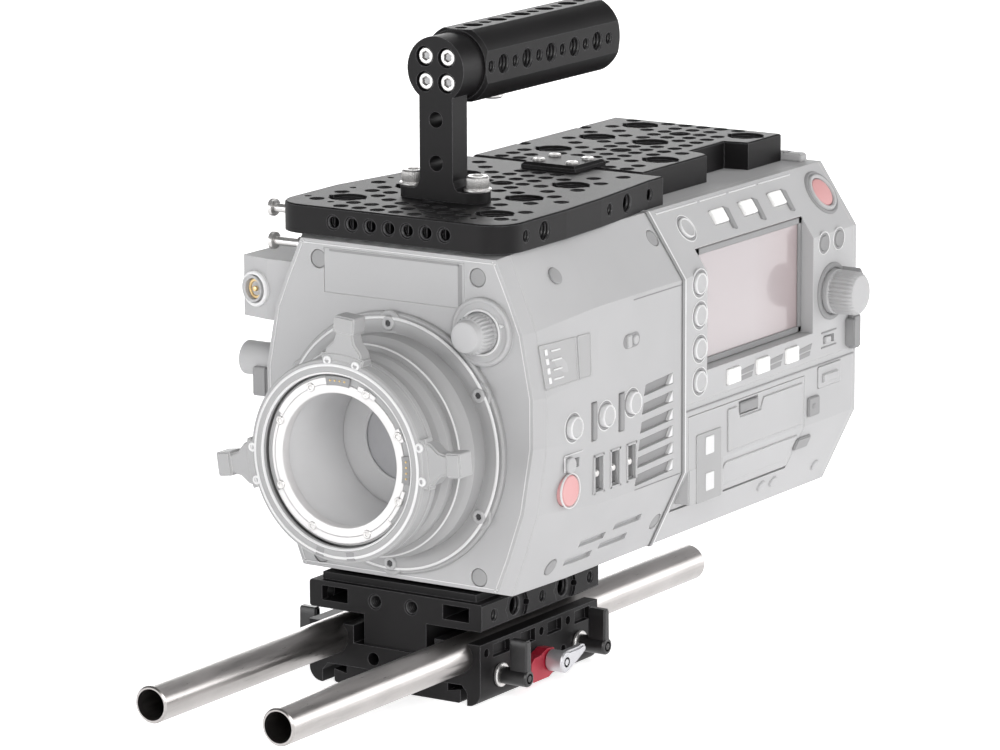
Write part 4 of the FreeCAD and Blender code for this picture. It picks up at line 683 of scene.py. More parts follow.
def lock_ring():
    """The mount's lock ring in its own detail, with wings, grooves and dark patches painted as the shade of
    its bottom notches.
    """
    rear = on_axis(LOCK_Y)
    body = hoop([
        (36.55, 0), (40.2, 0), (41.0, 0.8), (41.0, 3.0), (40.3, 3.6), (40.3, 4.6), (41.0, 5.2), (41.0, 9.4),
        (40.4, 10.2), (39.0, 10.5), (38.2, 10.8), (36.2, 10.8), (35.4, 10.3), (34.9, 9.4), (34.9, 8.45),
        (36.55, 8.45)], 144)
    wings = []
    screws = []
    for angle in (86, 188, 5):
        metal, bright = lock_wing()
        wings.append((metal, swing(angle)))
        screws.append((bright, swing(angle)))
    stand_in("mount_lock_ring", "lock_ring", joined(body, *wings), rear, MOUNT)
    # Painted highlights: thin bright rings along the lock ring's front edges.
    highlight_rims = [hoop([(38.0, 10.6), (38.9, 10.35), (39.3, 10.6), (38.8, 10.95), (38.2, 11.0)], 144),
            hoop([(35.0, 9.9), (35.5, 10.2), (35.9, 10.7), (35.5, 10.75), (34.95, 10.2)], 144)]
    piece("lock_ring_highlight_rims", joined(*highlight_rims), rear, BEZEL, "mount_lock_ring")
    # Painted shade: two dark patches on the ring's front face stand for the shade in its bottom notches.
    notch_shades = [(pad((1.7, 1.9, 0.3), 9.8, 10.93, 0.1), swing(angle) @ shift(38.1))
               for angle in (258, 280)]
    piece("lock_ring_notch_shades", joined(*notch_shades), rear, SHADE, "mount_lock_ring")
    bright_piece("lock_ring_screws", joined(*screws), rear, BEZEL, "mount_lock_ring")


def seat_ring():
    """The bright seat ring with lugs round its outside, a lower grey step and two contact blocks."""
    rear = on_axis(SEAT_Y)
    body = hoop([
        (27.0, 0), (31.0, 0), (31.0, 4.2), (30.7, 4.4), (27.6, 4.4), (27.2, 4.2), (27.0, 3.8)], 144)
    lugs = [slab(arc_outline(30.4, outer, start, end, 20), 1.5, 4.4, 0.12)
            for outer, start, end in ((32.8, 20, 30), (32.6, 57, 73), (33.4, 97, 150), (32.0, 150, 208),
                                      (33.4, 208, 318), (32.4, 318, 344))]
    ring = bright_piece("seat_ring", joined(body, *lugs), rear, SEAT)
    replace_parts(ring, "mount_seat_ring")
    step = hoop([(31.1, 0), (34.4, 0), (34.4, 3.5), (34.0, 3.9), (31.1, 3.9)], 144)
    mount_piece("seat_step", step, rear)
    for index, angle in enumerate((90, 0)):
        holder = slab(arc_outline(30.2, 34.0, angle - 10, angle + 10, 12), 2.6, 4.9, 0.15)
        mount_piece("contact_block_%d" % index, holder, rear, SHADE)
        pins = [(lathe([(0, 4.6), (0.42, 4.6), (0.42, 5.15), (0.25, 5.3), (0, 5.3)], 16),
                 swing(angle - 6 + 4 * step_index) @ shift(32.2)) for step_index in range(4)]
        bright_piece("contact_pins_%d" % index, joined(*pins), rear, GOLD)


def port_details():
    """Rings inside the throat, the sensor's mask and glass, and ridges outside the port, edged with thin
    rims painted bright as highlights.
    """
    front = on_axis(SEAT_Y)
    # Painted light: the throat liner and sensor mask take the pale throat colour.
    liner = hoop([(28.95, 0), (28.95, -38), (27.2, -38), (26.6, -30), (27.6, -20), (26.9, -12), (28.0, -6),
                   (28.2, 0)], 120)
    mount_piece("throat_liner", liner, front, THROAT)
    mask = hoop([(16.6, 0), (28.9, 0), (28.9, 1.0), (17.4, 1.0), (16.6, 0.5)], 96)
    mount_piece("sensor_mask", mask, on_axis(5.6), THROAT)
    glass = lathe([(0, 0), (16.9, 0), (16.9, 0.4), (0, 0.45)], 96)
    piece("sensor_glass", glass, on_axis(6.3), OPTIC)
    ridge = hoop([(45.0, 0), (50.8, 0), (51.6, 0.4), (51.6, 1.0), (50.9, 1.3), (47.0, 1.3), (46.0, 0.8),
                   (45.0, 0.8)], 144)
    mount_piece("flange_ridge", ridge, on_axis(FLANGE_Y))
    # Painted highlight: a thin bright ring along the flange ridge's outer edge.
    rim = hoop([(50.6, 1.0), (51.4, 0.8), (51.75, 1.0), (51.2, 1.45), (50.6, 1.45)], 144)
    mount_piece("flange_highlight_rim", rim, on_axis(FLANGE_Y), BEZEL)
    collar = hoop([(40.5, 0), (42.6, 0), (43.0, 0.5), (43.0, 1.6), (42.6, 2.0), (40.5, 2.0)], 144)
    mount_piece("barrel_collar", collar, on_axis(COLLAR_Y))
    # Painted highlight: a thin bright ring along the barrel collar's edge.
    bright = hoop([(42.4, 1.8), (43.0, 1.4), (43.3, 1.7), (42.8, 2.15)], 144)
    mount_piece("barrel_highlight_rim", bright, on_axis(COLLAR_Y), BEZEL)


# --------------------------------------------------------------- camera head


def filter_dial():
    """The ribbed filter dial on its stepped base, with a pointer."""
    low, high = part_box("filter_dial")
    x = (low.x + high.x) / 2 / MM
    z = ((low.z + high.z) / 2 - ROD_HEIGHT) / MM
    ribs = (26, 0.75)
    knob = lathe([
        (0, 0), (8.0, 0), (8.0, 0.8), (7.6, 1.6, ribs), (7.9, 2.2, ribs), (7.9, 7.6, ribs),
        (7.4, 8.4, ribs), (6.9, 8.8), (6.5, 9.3), (6.4, 11.6), (6.0, 12.3), (5.0, 12.6),
        (3.0, 12.75), (0, 12.8)], 208)
    stand_in("filter_dial", "filter_knob", knob, facing(x, -0.95, z, FRONT))
    base = hoop([
        (8.4, 0), (13.6, 0), (13.7, 0.6), (12.9, 1.1), (12.2, 1.1), (11.8, 0.7), (9.6, 0.7), (9.2, 1.2),
        (8.8, 1.3), (8.4, 1.0)], 96)
    base_place = facing(x, -0.45, z, FRONT)
    piece("filter_base", base, base_place, CASTING)
    # Painted highlight: the collar under the knob is painted bright for the light caught along it.
    collar = hoop([(8.5, 0.9), (9.3, 0.9), (9.4, 1.5), (9.0, 1.8), (8.5, 1.6)], 96)
    piece("filter_collar_highlight", collar, base_place, BEZEL)
    mark = slab([(-0.8, 9.7), (0.8, 9.7), (0.3, 11.6), (-0.3, 11.6)], 0.6, 1.35, 0.08)
    piece("filter_pointer", mark, base_place @ swing(-70), BEZEL)


def cover_plug(radius=3.7):
    """A soft plug over a cover screw, set slightly below the skin."""
    return lathe([(0, 0), (radius, 0), (radius, 0.5), (radius - 0.35, 0.85), (radius * 0.4, 1.0),
                  (0, 1.02)], 40)


def front_details():
    """Plugs, the flush name panel with its shading strips, and a bead inside the front edge."""
    panel_y = 2.2
    for index, (x, z) in enumerate(((39.7, 154.2), (-36.2, 154.2), (39.7, 32.9), (-36.2, 32.9))):
        piece("front_plug_%d" % index, cover_plug(), facing(x, panel_y, z, FRONT), RUBBER)
    panel_place = facing(0, panel_y, 150.1, FRONT)
    panel = pad((33.4, 9.1, 0.3), 0, 1.1, 0.12)
    piece("front_name_panel", panel, panel_place, CASTING)
    strips = [pad((1.0, 8.4, 0.3), 0.6, 1.16, 0.05, at=(31.4, 0)),
              pad((31.0, 0.5, 0.2), 0.6, 1.16, 0.05, at=(0, 8.2))]
    piece("front_panel_strips", joined(*strips), panel_place, SHADE)
    half = ((46.5, 162.0), (53.7, 146.0), (58.8, 133.5), (63.7, 108.0), (63.7, 88.0), (59.2, 61.0),
            (52.7, 42.0), (47.0, 27.5))
    outline = list(half) + [(-x, z) for x, z in reversed(half)]
    beads = []
    for (x0, z0), (x1, z1) in zip(outline, outline[1:] + outline[:1]):
        length = math.hypot(x1 - x0, z1 - z0)
        angle = math.degrees(math.atan2(z1 - z0, x1 - x0))
        bar = pad((length / 2, 0.22, 0.05), 0, 0.22, 0.08)
        inset = swing(angle) @ shift(y=-1.6)
        beads.append((bar, shift((x0 + x1) / 2 + SKIN_CENTRE, (z0 + z1) / 2) @ inset))
    piece("front_edge_bead", joined(*beads), facing(0, 1.05, 0, FRONT), BEZEL)


def round_button(name, y, z, radius, stand):
    """A control button: a rim painted bright as a highlight, a dished grey top, and a fine lip and a ring
    of painted shade round its hole.
    """
    # Painted highlight: the rim is painted bright, lighter than the dished grey top.
    rim = hoop([
        (radius - 0.8, -1.0), (radius, -1.0), (radius, stand - 0.45), (radius - 0.3, stand - 0.05),
        (radius - 0.5, stand), (radius - 0.7, stand - 0.2), (radius - 0.8, stand - 0.4)])
    cap = lathe([
        (0, -4.5), (radius - 0.1, -4.5), (radius - 0.1, -1.1), (radius - 0.85, -1.0),
        (radius - 0.85, stand - 0.35), (radius * 0.4, stand - 0.5), (0, stand - 0.54)], 64)
    place = on_skin(y, z)
    piece(name + "_rim", rim, place, BEZEL, name)
    stand_in(name, name + "_cap", cap, place)
    button_well(name, place, radius)


def button_well(name, place, radius):
    # Painted shade: the dark ring round the button's hole stands for the shade of its well.
    inner, outer = radius + 0.2, radius + 1.35
    well = hoop([(inner, -0.6), (outer, -0.6), (outer, 0.06), (inner, 0.06)])
    piece(name + "_well_shade", well, place, SHADE)
    lip = hoop([(radius + 1.3, -0.4), (radius + 1.8, -0.4), (radius + 1.75, 0.15),
                (radius + 1.55, 0.3), (radius + 1.3, 0.15)])
    piece(name + "_lip", lip, place, BEZEL)


CAMERA_BUTTONS = {"front": (26.2, 92.5), "middle": (50.4, 92.9), "rear": (70.8, 94.4)}
TOGGLES = {"front": 45.5, "middle": 58.0, "rear": 70.5}


def camera_side():
    """Buttons, guards painted in the shade of the channels beside them, toggles, label, louvres, plugs and
    power switch of the control side.
    """
    for label, (y, z) in CAMERA_BUTTONS.items():
        round_button("camera_button_" + label, y, z, 4.6, 2.4)
    record_place = on_skin(24.3, 67.2)
    record = lathe([
        (0, -5.3), (6.3, -5.3), (6.4, -4.8), (6.4, -0.5), (6.1, 0.1), (5.7, 0.35), (5.4, 0.25),
        (0, 0.25)], 72)
    stand_in("camera_record_button", "camera_record_cap", record, record_place, RED)
    # Painted highlight: a bright ring round the record button for the light caught on its rim.
    rim = hoop([(6.65, -0.4), (7.2, -0.4), (7.2, 0.25), (6.95, 0.45), (6.65, 0.2)], 96)
    piece("camera_record_highlight_rim", rim, record_place, BEZEL)
    # Painted shade: the guard bars beside the middle and rear buttons are painted in the shade grey for the
    # dark channels there.
    bars = [(pad((1.6, 7.6, 0.7), -0.9, 0.7, 0.25), shift(y - 55, 92 - 70)) for y in (42.15, 62.9)]
    piece("button_guard_shades", joined(*bars), on_skin(55, 70), SHADE)
    toggles()
    filter_label()
    slider = joined((pad((1.7, 2.6, 0.8), -0.9, 1.0, 0.35), shift(-2.4)),
                    (lathe([(0, -0.9), (2.0, -0.9), (2.0, 0.6), (1.4, 1.1), (0, 1.2)], 32), shift(2.6)))
    piece("side_lock_slider", slider, on_skin(70.5, 120.0), CONTROL)
    # Painted shade: a dark patch under the lock slider stands for the shade of its recess.
    piece("side_lock_recess_shade", pad((6.2, 3.0, 2.8), -0.2, 0.16, 0.06), on_skin(70.5, 120.0), SHADE)
    louvres()
    for index, (y, z) in enumerate(((30.0, 152.5), (105.5, 155.0), (29.0, 33.0), (105.5, 36.7))):
        piece("side_plug_%d" % index, cover_plug(3.6), on_skin(y, z, -1.1), RUBBER)
    panel_lines = []
    for height, start, end in ((136.2, 72.2, 109.4), (57.7, 72.9, 109.9)):
        bar = pad(((end - start) / 2, 0.22, 0.05), -0.1, 0.16, 0.05)
        panel_lines.append((bar, shift((start + end) / 2, height)))
    piece("side_panel_lines", joined(*panel_lines), SIDE_PLANE, SHADE)
    power_switch()


def toggles():
    """Three bat switches in boxed recesses, each with a slanted frame on the skin."""
    for label, y in TOGGLES.items():
        bat = lathe([(0, 0), (1.0, 0), (1.0, 3.4), (1.15, 5.2), (1.5, 6.4), (1.5, 7.0), (1.1, 7.5),
                     (0, 7.6)], 32)
        place = facing(60.0, y, 70, RIGHT)
        stand_in("toggle_" + label, "toggle_bat_" + label, bat, place, SILVER)
        # Painted shade: the liner walls of each recess are painted in the shade grey so the opening reads
        # dark.
        walls = [(pad((0.25, 6.9), 0, 9.2, 0), shift(side * 2.72)) for side in (-1, 1)]
        walls += [(pad((2.9, 0.25), 0, 9.2, 0), shift(0, side * 6.72)) for side in (-1, 1)]
        walls.append(pad((2.9, 6.9), -0.6, 0, 0))
        piece("toggle_box_" + label, joined(*walls), facing(57.6, y, 70, RIGHT), SHADE)
        bars = [(pad((0.55, 8.0, 0.2), -0.4, 0.42, 0.15), shift(side * 3.5)) for side in (-1, 1)]
        bars += [(pad((3.9, 0.5, 0.2), -0.4, 0.42, 0.15), shift(0, side * 7.5)) for side in (-1, 1)]
        piece("toggle_frame_" + label, joined(*bars), on_skin(y, 70), CASTING)


def on_nose(y, z, height):
    """A point a height above the gently twisted nose plane of the control side."""
    rim_x = SKIN_CENTRE + 61.25 + 5.0 * (134.0 - z) / 26.0
    along = (y - NOSE_START) / NOSE_LENGTH
    return rim_x + (SKIN_X - rim_x) * along + height, y, z


def nose_piece(name, meshes, material):
    """A piece drawn flat in Y and Z that is laid on the nose plane."""
    mesh = joined(*meshes)
    for vert in mesh.verts:
        vert.co = on_nose(*vert.co)
    piece(name, mesh, upright(), material)


def filter_label():
    """The label window on the nose plane, with generic bars, and the narrow strip behind it."""
    for name, y, half in (("filter_label", 18.2, 11.4), ("filter_strip", 35.2, 4.0)):
        nose_piece(name, [pad((half, 8.6, 0.8), -0.6, 0.5, 0.1, at=(y, 119.8))], MOUNT)
        edges = [pad((half, 0.2, 0.1), 0.1, 0.62, 0.06, at=(y, 119.8 + side * 8.5))
                 for side in (-1, 1)]
        edges += [pad((0.2, 8.4, 0.1), 0.1, 0.62, 0.06, at=(y + side * half, 119.8))
                  for side in (-1, 1)]
        nose_piece(name + "_outline", edges, CASTING)
    bars = []
    for row in range(4):
        height = 125.4 - row * 3.7
        bars.append(pad((0.9, 1.2, 0.2), 0.3, 0.66, 0.05, at=(10.4, height)))
        bars.append(pad((3.0 + 0.4 * (row % 2), 0.3, 0.1), 0.3, 0.64, 0.04, at=(16.6, height)))
    nose_piece("filter_label_marks", bars, BEZEL)


def louvres():
    """Shaded floors in the intake openings and a lit wedge behind each."""
    floors = []
    wedges = []
    for top in (101.0, 93.5, 86.0, 79.0, 72.0, 65.0):
        lean = (101.0 - top) * 0.2
        floors.append(slab([(81.5 - lean, top - 1.3), (102.8, top - 0.2), (102.8, top - 4.4),
                            (80.5 - lean, top - 5.6)], -1.85, -1.6, 0.0))
        wedges.append(slab([(102.9, top - 0.15), (102.9, top - 4.45), (99.4, top - 4.6)], -1.7, -0.1, 0.08))
    piece("louvre_floors", joined(*floors), SIDE_PLANE, SHADE)
    piece("louvre_wedges", joined(*wedges), SIDE_PLANE, BEZEL)


def power_switch():
    """The power slider with its dial face, and bright lines painted as highlights along the top and front
    edges of its slot.
    """
    knob = joined(
        (lathe([(0, -4), (3.3, -4), (3.3, 0.8), (2.9, 1.2), (1.6, 1.3), (0, 1.3)], 40), shift(-2.6)),
        (pad((2.0, 1.7, 0.6), -4.0, 1.2, 0.3), shift(-2.6)))
    place = on_skin(26.6, 77.7)
    stand_in("power_switch", "power_slider", knob, place)
    # Painted highlights: bright lines on the slot's top and front edges.
    bars = [pad((6.6, 0.22, 0.1), -0.2, 0.3, 0.08, at=(0.0, 4.2)),
            pad((0.22, 3.2, 0.1), -0.2, 0.3, 0.08, at=(-6.6, 1.0))]
    piece("power_frame_highlights", joined(*bars), place, BEZEL)


def left_details():
    """The signal connector's ring and contact, and the latch, on the far side."""
    lean = math.radians(-12)
    out = (math.sin(lean), -math.cos(lean), 0)
    shell = hoop([(5.7, -6.0), (7.2, -6.0), (7.4, -1.0), (7.4, 0.4), (6.9, 0.9), (6.0, 0.9),
                  (5.7, 0.4)])
    place = facing(-72.8, 8.6, 137, out)
    piece("signal_ring", shell, place, BEZEL)
    inner = joined(
        lathe([(0, -3), (4.3, -3), (4.3, -0.4), (3.9, -0.1), (3.1, -0.1), (2.9, -0.9), (0, -0.9)], 48),
        lathe([(0, -1), (1.1, -1), (1.1, 0.5), (0.6, 0.7), (0, 0.7)], 24))
    bright_piece("signal_contact", inner, place, GOLD)
    latch = pad((3.6, 6.0, 0.8), -3.4, 3.4, 0.6)
    piece("left_latch", latch, facing(-67.5, 6.5, 100, LEFT), SHADE)


# ------------------------------------------------------------------ recorder


KEYS = {
    "soft_key_upper_front": (158.6, 155.6),
    "soft_key_upper_middle": (182.4, 155.6),
    "soft_key_upper_rear": (206.6, 155.6),
    "soft_key_lower_front": (151.0, 91.0),
    "soft_key_lower_middle": (175.0, 91.0),
    "soft_key_lower_rear": (199.5, 91.0),
}
DISPLAY_BUTTONS = {
    "display_button_top": (124.0, 134.3),
    "display_button_upper": (124.0, 121.0),
    "display_button_lower": (124.0, 107.0),
    "display_button_bottom": (124.0, 93.3),
    "display_button_corner": (132.0, 154.8),
}


def recorder_keys():
    for name, (y, z) in KEYS.items():
        cap = pad((5.0, 3.2, 0.6), -4.5, 1.2, 0.3)
        stand_in(name, name + "_cap", cap, on_skin(y, z), WHITE)
        if "upper" in name:
            # Painted shade: the slanted rib beside each upper key is painted in the shade grey.
            ridge = slab([(5.9, 3.6), (5.6, -6.6), (8.6, -7.6), (9.4, 2.2)], -0.2, 0.9, 0.3)
            recorder_piece(name + "_rib", ridge, on_skin(y, z), SHADE)
        else:
            wedges = [slab([(6.6, 1.0), (17.8, 1.8), (16.6, -0.6), (7.0, -1.0)], -0.3, 0.12, 0.05),
                      slab([(7.0, -1.6), (16.5, -1.2), (15.6, -3.2), (7.5, -3.6)], -0.3, 0.12, 0.05)]
            recorder_piece(name + "_shadow", joined(*wedges), on_skin(y, z), SHADE)
    for name, (y, z) in DISPLAY_BUTTONS.items():
        round_button(name, y, z, 4.5, 1.2)
    for name, y in (("menu_button", 227.0), ("exit_button", 239.7)):
        cap = lathe([(0, -4.5), (3.3, -4.5), (3.3, 0.2), (3.0, 0.4), (2.6, 0.3), (0, 0.2)], 48)
        stand_in(name, name + "_cap", cap, on_skin(y, 134.5), SHADE)
        button_well(name, on_skin(y, 134.5), 3.3)
    place = on_skin(242.0, 153.0)
    cap = lathe([(0, -4.5), (6.3, -4.5), (6.4, -4), (6.4, 0.5), (6.0, 1.0), (5.0, 1.2), (0, 1.25)], 72)
    stand_in("recorder_record_button", "record_cap", cap, place, RED)
    collar = hoop([(6.7, -0.5), (8.7, -0.5), (8.6, 0.6), (8.1, 1.5), (7.4, 1.6), (6.7, 1.0)], 96)
    recorder_piece("record_collar", collar, place, CASING)
    outer = hoop([(8.7, -0.5), (10.4, -0.5), (10.3, 0.3), (9.6, 0.9), (8.7, 0.5)], 96)
    recorder_piece("record_collar_outer", outer, place, SHADE)
    slide = pad((2.3, 1.5, 0.5), -4.0, 1.2, 0.3)
    stand_in("lock_switch", "lock_slider", slide, on_skin(229.7, 92.3))
    # Painted shade: dark bars along the top and bottom of the lock slider's slot stand for the shade in its
    # recess.
    surround = [(pad((6.4, 0.35, 0.1), -0.2, 0.3, 0.1), shift(0, side * 3.2)) for side in (-1, 1)]
    recorder_piece("lock_slot_shades", joined(*surround), on_skin(231.6, 92.4), SHADE)


def jog_dial():
    """The ribbed jog dial, its base ring and the guard round its front."""
    place = on_skin(233.8, 112.8)
    ribs = (30, 0.6)
    knob = lathe([
        (0, 0.4), (9.4, 0.4), (9.6, 1.0), (9.6, 3.0), (9.2, 3.6, ribs), (9.5, 4.4, ribs), (9.3, 12.0, ribs),
        (8.8, 13.4, ribs), (7.8, 14.3), (6.2, 14.7), (0, 14.8)], 240)
    stand_in("jog_dial", "jog_knob", knob, place)
    base = hoop([(10.0, -0.5), (12.4, -0.5), (12.4, 0.5), (11.8, 1.1), (10.6, 1.1), (10.0, 0.6)], 96)
    recorder_piece("jog_base", base, place, SHADE)
    guard = slab(arc_outline(10.5, 12.6, -52, 48, 20), 0.0, 9.6, 0.4)
    recorder_piece("jog_guard", guard, place, SHADE)


def screen_details():
    low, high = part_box("display_screen")
    face_x = high.x / MM
    centre_y = ((low.y + high.y) / 2 - FRONT_STATION) / MM
    centre_z = ((low.z + high.z) / 2 - ROD_HEIGHT) / MM
    outer_y, outer_z = 43.7, 24.7
    border = []
    for sign in (-1, 1):
        border.append((pad((outer_y, 1.3, 0.3), 0, 0.8, 0.2), shift(0, sign * (outer_z - 1.3))))
        border.append((pad((1.3, outer_z, 0.3), 0, 0.8, 0.2), shift(sign * (outer_y - 1.3), 0)))
    recorder_piece("screen_border", joined(*border), facing(face_x, centre_y, centre_z, RIGHT), SHADE)


def door_details():
    """The card door's pads, front bulge, label strip with two windows and latch, which swing with it."""
    door = "card_door"
    raised = slab([(146.5, 59.2), (208.6, 59.2), (208.6, 77.4), (176.0, 77.4), (173.5, 72.4), (156.5, 72.4),
                   (154.0, 77.4), (146.5, 77.4)], -0.2, 0.6, 0.3)
    recorder_piece("door_pad", raised, SIDE_PLANE, CASING, door)
    wedge = bmesh.new()
    near, far = 115.7, 143.4
    corners = []
    for y in (near, far):
        for x, z in ((SKIN_X - 0.6, HIP_Z + 1.0), (SKIN_X + 0.15, HIP_Z), (SKIN_X + 0.15, 42.4),
                     (60.4, 42.4)):
            corners.append(wedge.verts.new((x, y, z)))
    wedge.faces.new(corners[:4])
    wedge.faces.new(corners[4:])
    bridge(wedge, corners[:4], corners[4:])
    bmesh.ops.recalc_face_normals(wedge, faces=wedge.faces)
    bmesh.ops.bevel(wedge, geom=list(wedge.edges), offset=0.5, segments=2, affect="EDGES",
                      clamp_overlap=True)
    recorder_piece("door_bulge", wedge, upright(), CASING, door)
    strip = pad((10.0, 14.6, 0.8), -0.1, 0.5, 0.15, at=(131.3, 56.4))
    recorder_piece("door_label", strip, SIDE_PLANE, MOUNT, door)
    windows = [pad((3.4, 3.8, 0.5), 0.4, 0.75, 0.12, at=(131.5, z)) for z in (65.3, 50.0)]
    recorder_piece("door_windows", joined(*windows), SIDE_PLANE, BEZEL, door)
    pull = pad((7.6, 2.2, 0.8), -1.6, 0.5, 0.35, at=(164.0, 75.9))
    recorder_piece("door_pull", pull, SIDE_PLANE, SHADE, door)
    lower = slab([(-16.0, -6.5), (44.0, -6.5), (44.0, 6.5), (-16.0, 6.5)], -0.2, 0.6, 0.3)
    recorder_piece("door_lower_pad", lower, on_skin(163.0, 49.0), CASING, door)


def recorder_details():
    """Covers, latches, seams, small feet and the rear rail, with dark discs painted on it as the shade of
    its holes.
    """
    skin_band("module_seam", 109.6, 111.4, 0.25, SHADE)
    skin_band("module_bead", 111.4, 112.3, 0.5, BEZEL)
    recorder_piece("port_cover_upper", pad((4.6, 4.2, 0.9), -0.2, 1.3, 0.45, at=(217.9, 65.5)),
                   SIDE_PLANE, RUBBER)
    recorder_piece("port_cover_lower", pad((5.6, 3.0, 0.9), -0.2, 1.3, 0.45), on_skin(214.5, 50.0), RUBBER)
    recorder_piece("port_cover_mark", pad((1.2, 1.0, 0.2), 1.2, 1.5, 0.08, at=(217.3, 65.7)), SIDE_PLANE,
                   SHADE)
    latch = joined(pad((3.2, 7.4, 1.0), -0.2, 3.2, 0.8, at=(251.4, 92.5)),
                   pad((1.4, 6.0, 0.6), -0.2, 4.4, 0.5, at=(247.6, 92.5)))
    recorder_piece("edge_latch", latch, SIDE_PLANE, SHADE)
    lower_latch = joined(pad((10.0, 4.8, 0.9), -0.2, 0.5, 0.3, at=(232.0, 76.8)),
                         pad((6.6, 1.9, 0.8), 0.2, 1.5, 0.4, at=(232.0, 76.0)))
    recorder_piece("side_latch", lower_latch, SIDE_PLANE, CASING)
    seam = pad((70.5, 0.3), -0.1, 0.35, 0, at=(182.5, 82.4))
    recorder_piece("panel_seam_bead", seam, SIDE_PLANE, SHADE)
    edges = [(pad(((end - start) / 2, 0.3, 0.1), -0.1, 0.35, 0.1), shift((start + end) / 2 - 180, 0))
             for start, end in ((116.0, 149.0), (151.0, 172.5), (174.5, 197.0), (199.0, 226.0))]
    recorder_piece("panel_top_beads", joined(*edges), on_skin(180.0, 162.6), BEZEL)
    feet = [(lathe([(0, -0.4), (2.4, -0.4), (2.4, 0.7), (1.9, 1.1), (0, 1.2)], 32), shift(y - 210, 0))
            for y in (194.0, 204.0, 240.0)]
    recorder_piece("side_feet", joined(*feet), on_skin(210.0, 34.0), CASING)
    rail_y = (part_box("recorder_frame")[1].y - FRONT_STATION) / MM
    rail = pad((45.0, (rail_y - 247.0) / 2, 1.0), 0, 3.6, 0.6)
    middle = (rail_y + 247.0) / 2
    recorder_piece("rear_rail", rail, facing(0, middle, 164.2, TOP, BACK), CASING)
    # Painted shade: dark discs on the rail stand for its holes.
    hole_shades = [(lathe([(0, 3.4), (2.2, 3.4), (2.2, 3.68), (1.2, 3.68), (1.1, 3.5), (0, 3.5)], 32), shift(x, 0))
            for x in (-36, -24, -12, 0, 12, 24, 36)]
    recorder_piece("rear_rail_hole_shades", joined(*hole_shades), facing(0, middle, 164.2, TOP, BACK), DARK)


# ---------------------------------------------------------------- base parts


def thread(radius, depth, pitch):
    """Internal thread as a stack of ridges, from local z = 0 down into the hole."""
    profile = [(radius - 0.03, 0.0), (radius - 0.03, -depth)]
    turns = int(depth / pitch)
    for index in range(turns, 0, -1):
        profile.append((radius - 0.08, -pitch * index))
        profile.append((radius - 0.5, -pitch * (index - 0.5)))
    profile.append((radius - 0.08, 0.0))
    return hoop(profile, 40)


def threads():
    """Threads in the holes that face the front, the control side and the sky."""
    small, large = 2.65, 4.1
    middle = PLATE_TOP - 5.9
    front_grid = [-0.9 + 8.81 * column for column in range(-3, 4)]
    groups = {
        "plate_front_threads": [(small, 2.5, facing(x, -0.7, middle, FRONT)) for x in front_grid],
        "riser_front_threads": [(small, 8.0, facing(x, 0.6, 16.5, FRONT)) for x in (-9.75, 7.75)],
        "riser_side_threads":
            [(small, 5.7, facing(41.3, y, 16.2, RIGHT)) for y in (8.9, 45.0, 81.4)]
            + [(large, 4.6, facing(40.2, y, 16.2, RIGHT)) for y in (26.2, 62.3)],
        "plate_side_threads":
            [(radius, depth, facing(x, y, middle, RIGHT)) for radius, depth, x, y in (
                (small, 7.0, 53.6, 14.5), (large, 7.0, 53.6, 28.0), (small, 6.0, 51.0, 81.0),
                (large, 4.3, 49.2, 97.0), (small, 2.1, 47.0, 118.0))],
    }
    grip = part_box("handle_grip")
    flat = grip[1].x / MM
    head_z = ((grip[0].z + grip[1].z) / 2 - ROD_HEIGHT) / MM
    rows = [52.2 + 8.9 * index for index in range(11)]
    groups["grip_threads"] = [(large if index % 2 else small, 7.0, facing(flat - 0.3, y, head_z, RIGHT))
                              for index, y in enumerate(rows)]
    for name, holes in groups.items():
        parts = [(thread(radius, depth, 1.27 if radius < 3 else 1.59), matrix)
                 for radius, depth, matrix in holes]
        piece(name, joined(*parts), Matrix.Identity(4), BLACK_SATIN)


def clamp_levers():
    for label, side, y in (("front_right", 1, 13.5), ("rear_right", 1, 72.6),
                           ("front_left", -1, 13.5), ("rear_left", -1, 72.6)):
        node = "clamp_lever_" + label
        matrix = facing(side * 36.0, y, -9.3, (side, 0, 0))
        if side < 0:
            matrix = matrix @ Matrix.Scale(-1, 4, (1, 0, 0))
        hub = lathe([(0, 0), (2.5, 0), (2.5, 7.0), (3.3, 7.0), (3.5, 7.3), (3.5, 18.7), (3.1, 19.3),
                     (2.4, 19.5), (0, 19.5)], 56)
        stand_in(node, node + "_hub", hub, matrix, BLACK_SATIN)
        edge = [(1.75, 0), (1.95, 3.0), (1.8, 12.0), (1.75, 14.6), (1.2, 15.6)]
        outline = [(-1.75, 0)] + edge + [(-x, y) for x, y in reversed(edge[1:])]
        paddle = slab(outline, 11.0, 19.2, 0.55, 3)
        piece(node + "_paddle", paddle, matrix, BLACK_SATIN, node)
        bright_piece(node + "_washer", (hoop([
            (2.6, 5.5), (4.7, 5.5), (4.9, 5.7), (4.9, 6.6), (4.5, 7.0), (2.6, 7.0)], 56)),
            matrix, SILVER, node)
        screw = lathe([(0, 18.6), (2.5, 18.6), (2.5, 19.3), (2.1, 19.5), (1.35, 19.5), (1.2, 19.4, 6),
                       (1.15, 18.9, 6), (0, 18.8)], 48)
        bright_piece(node + "_screw", screw, matrix, SILVER, node)


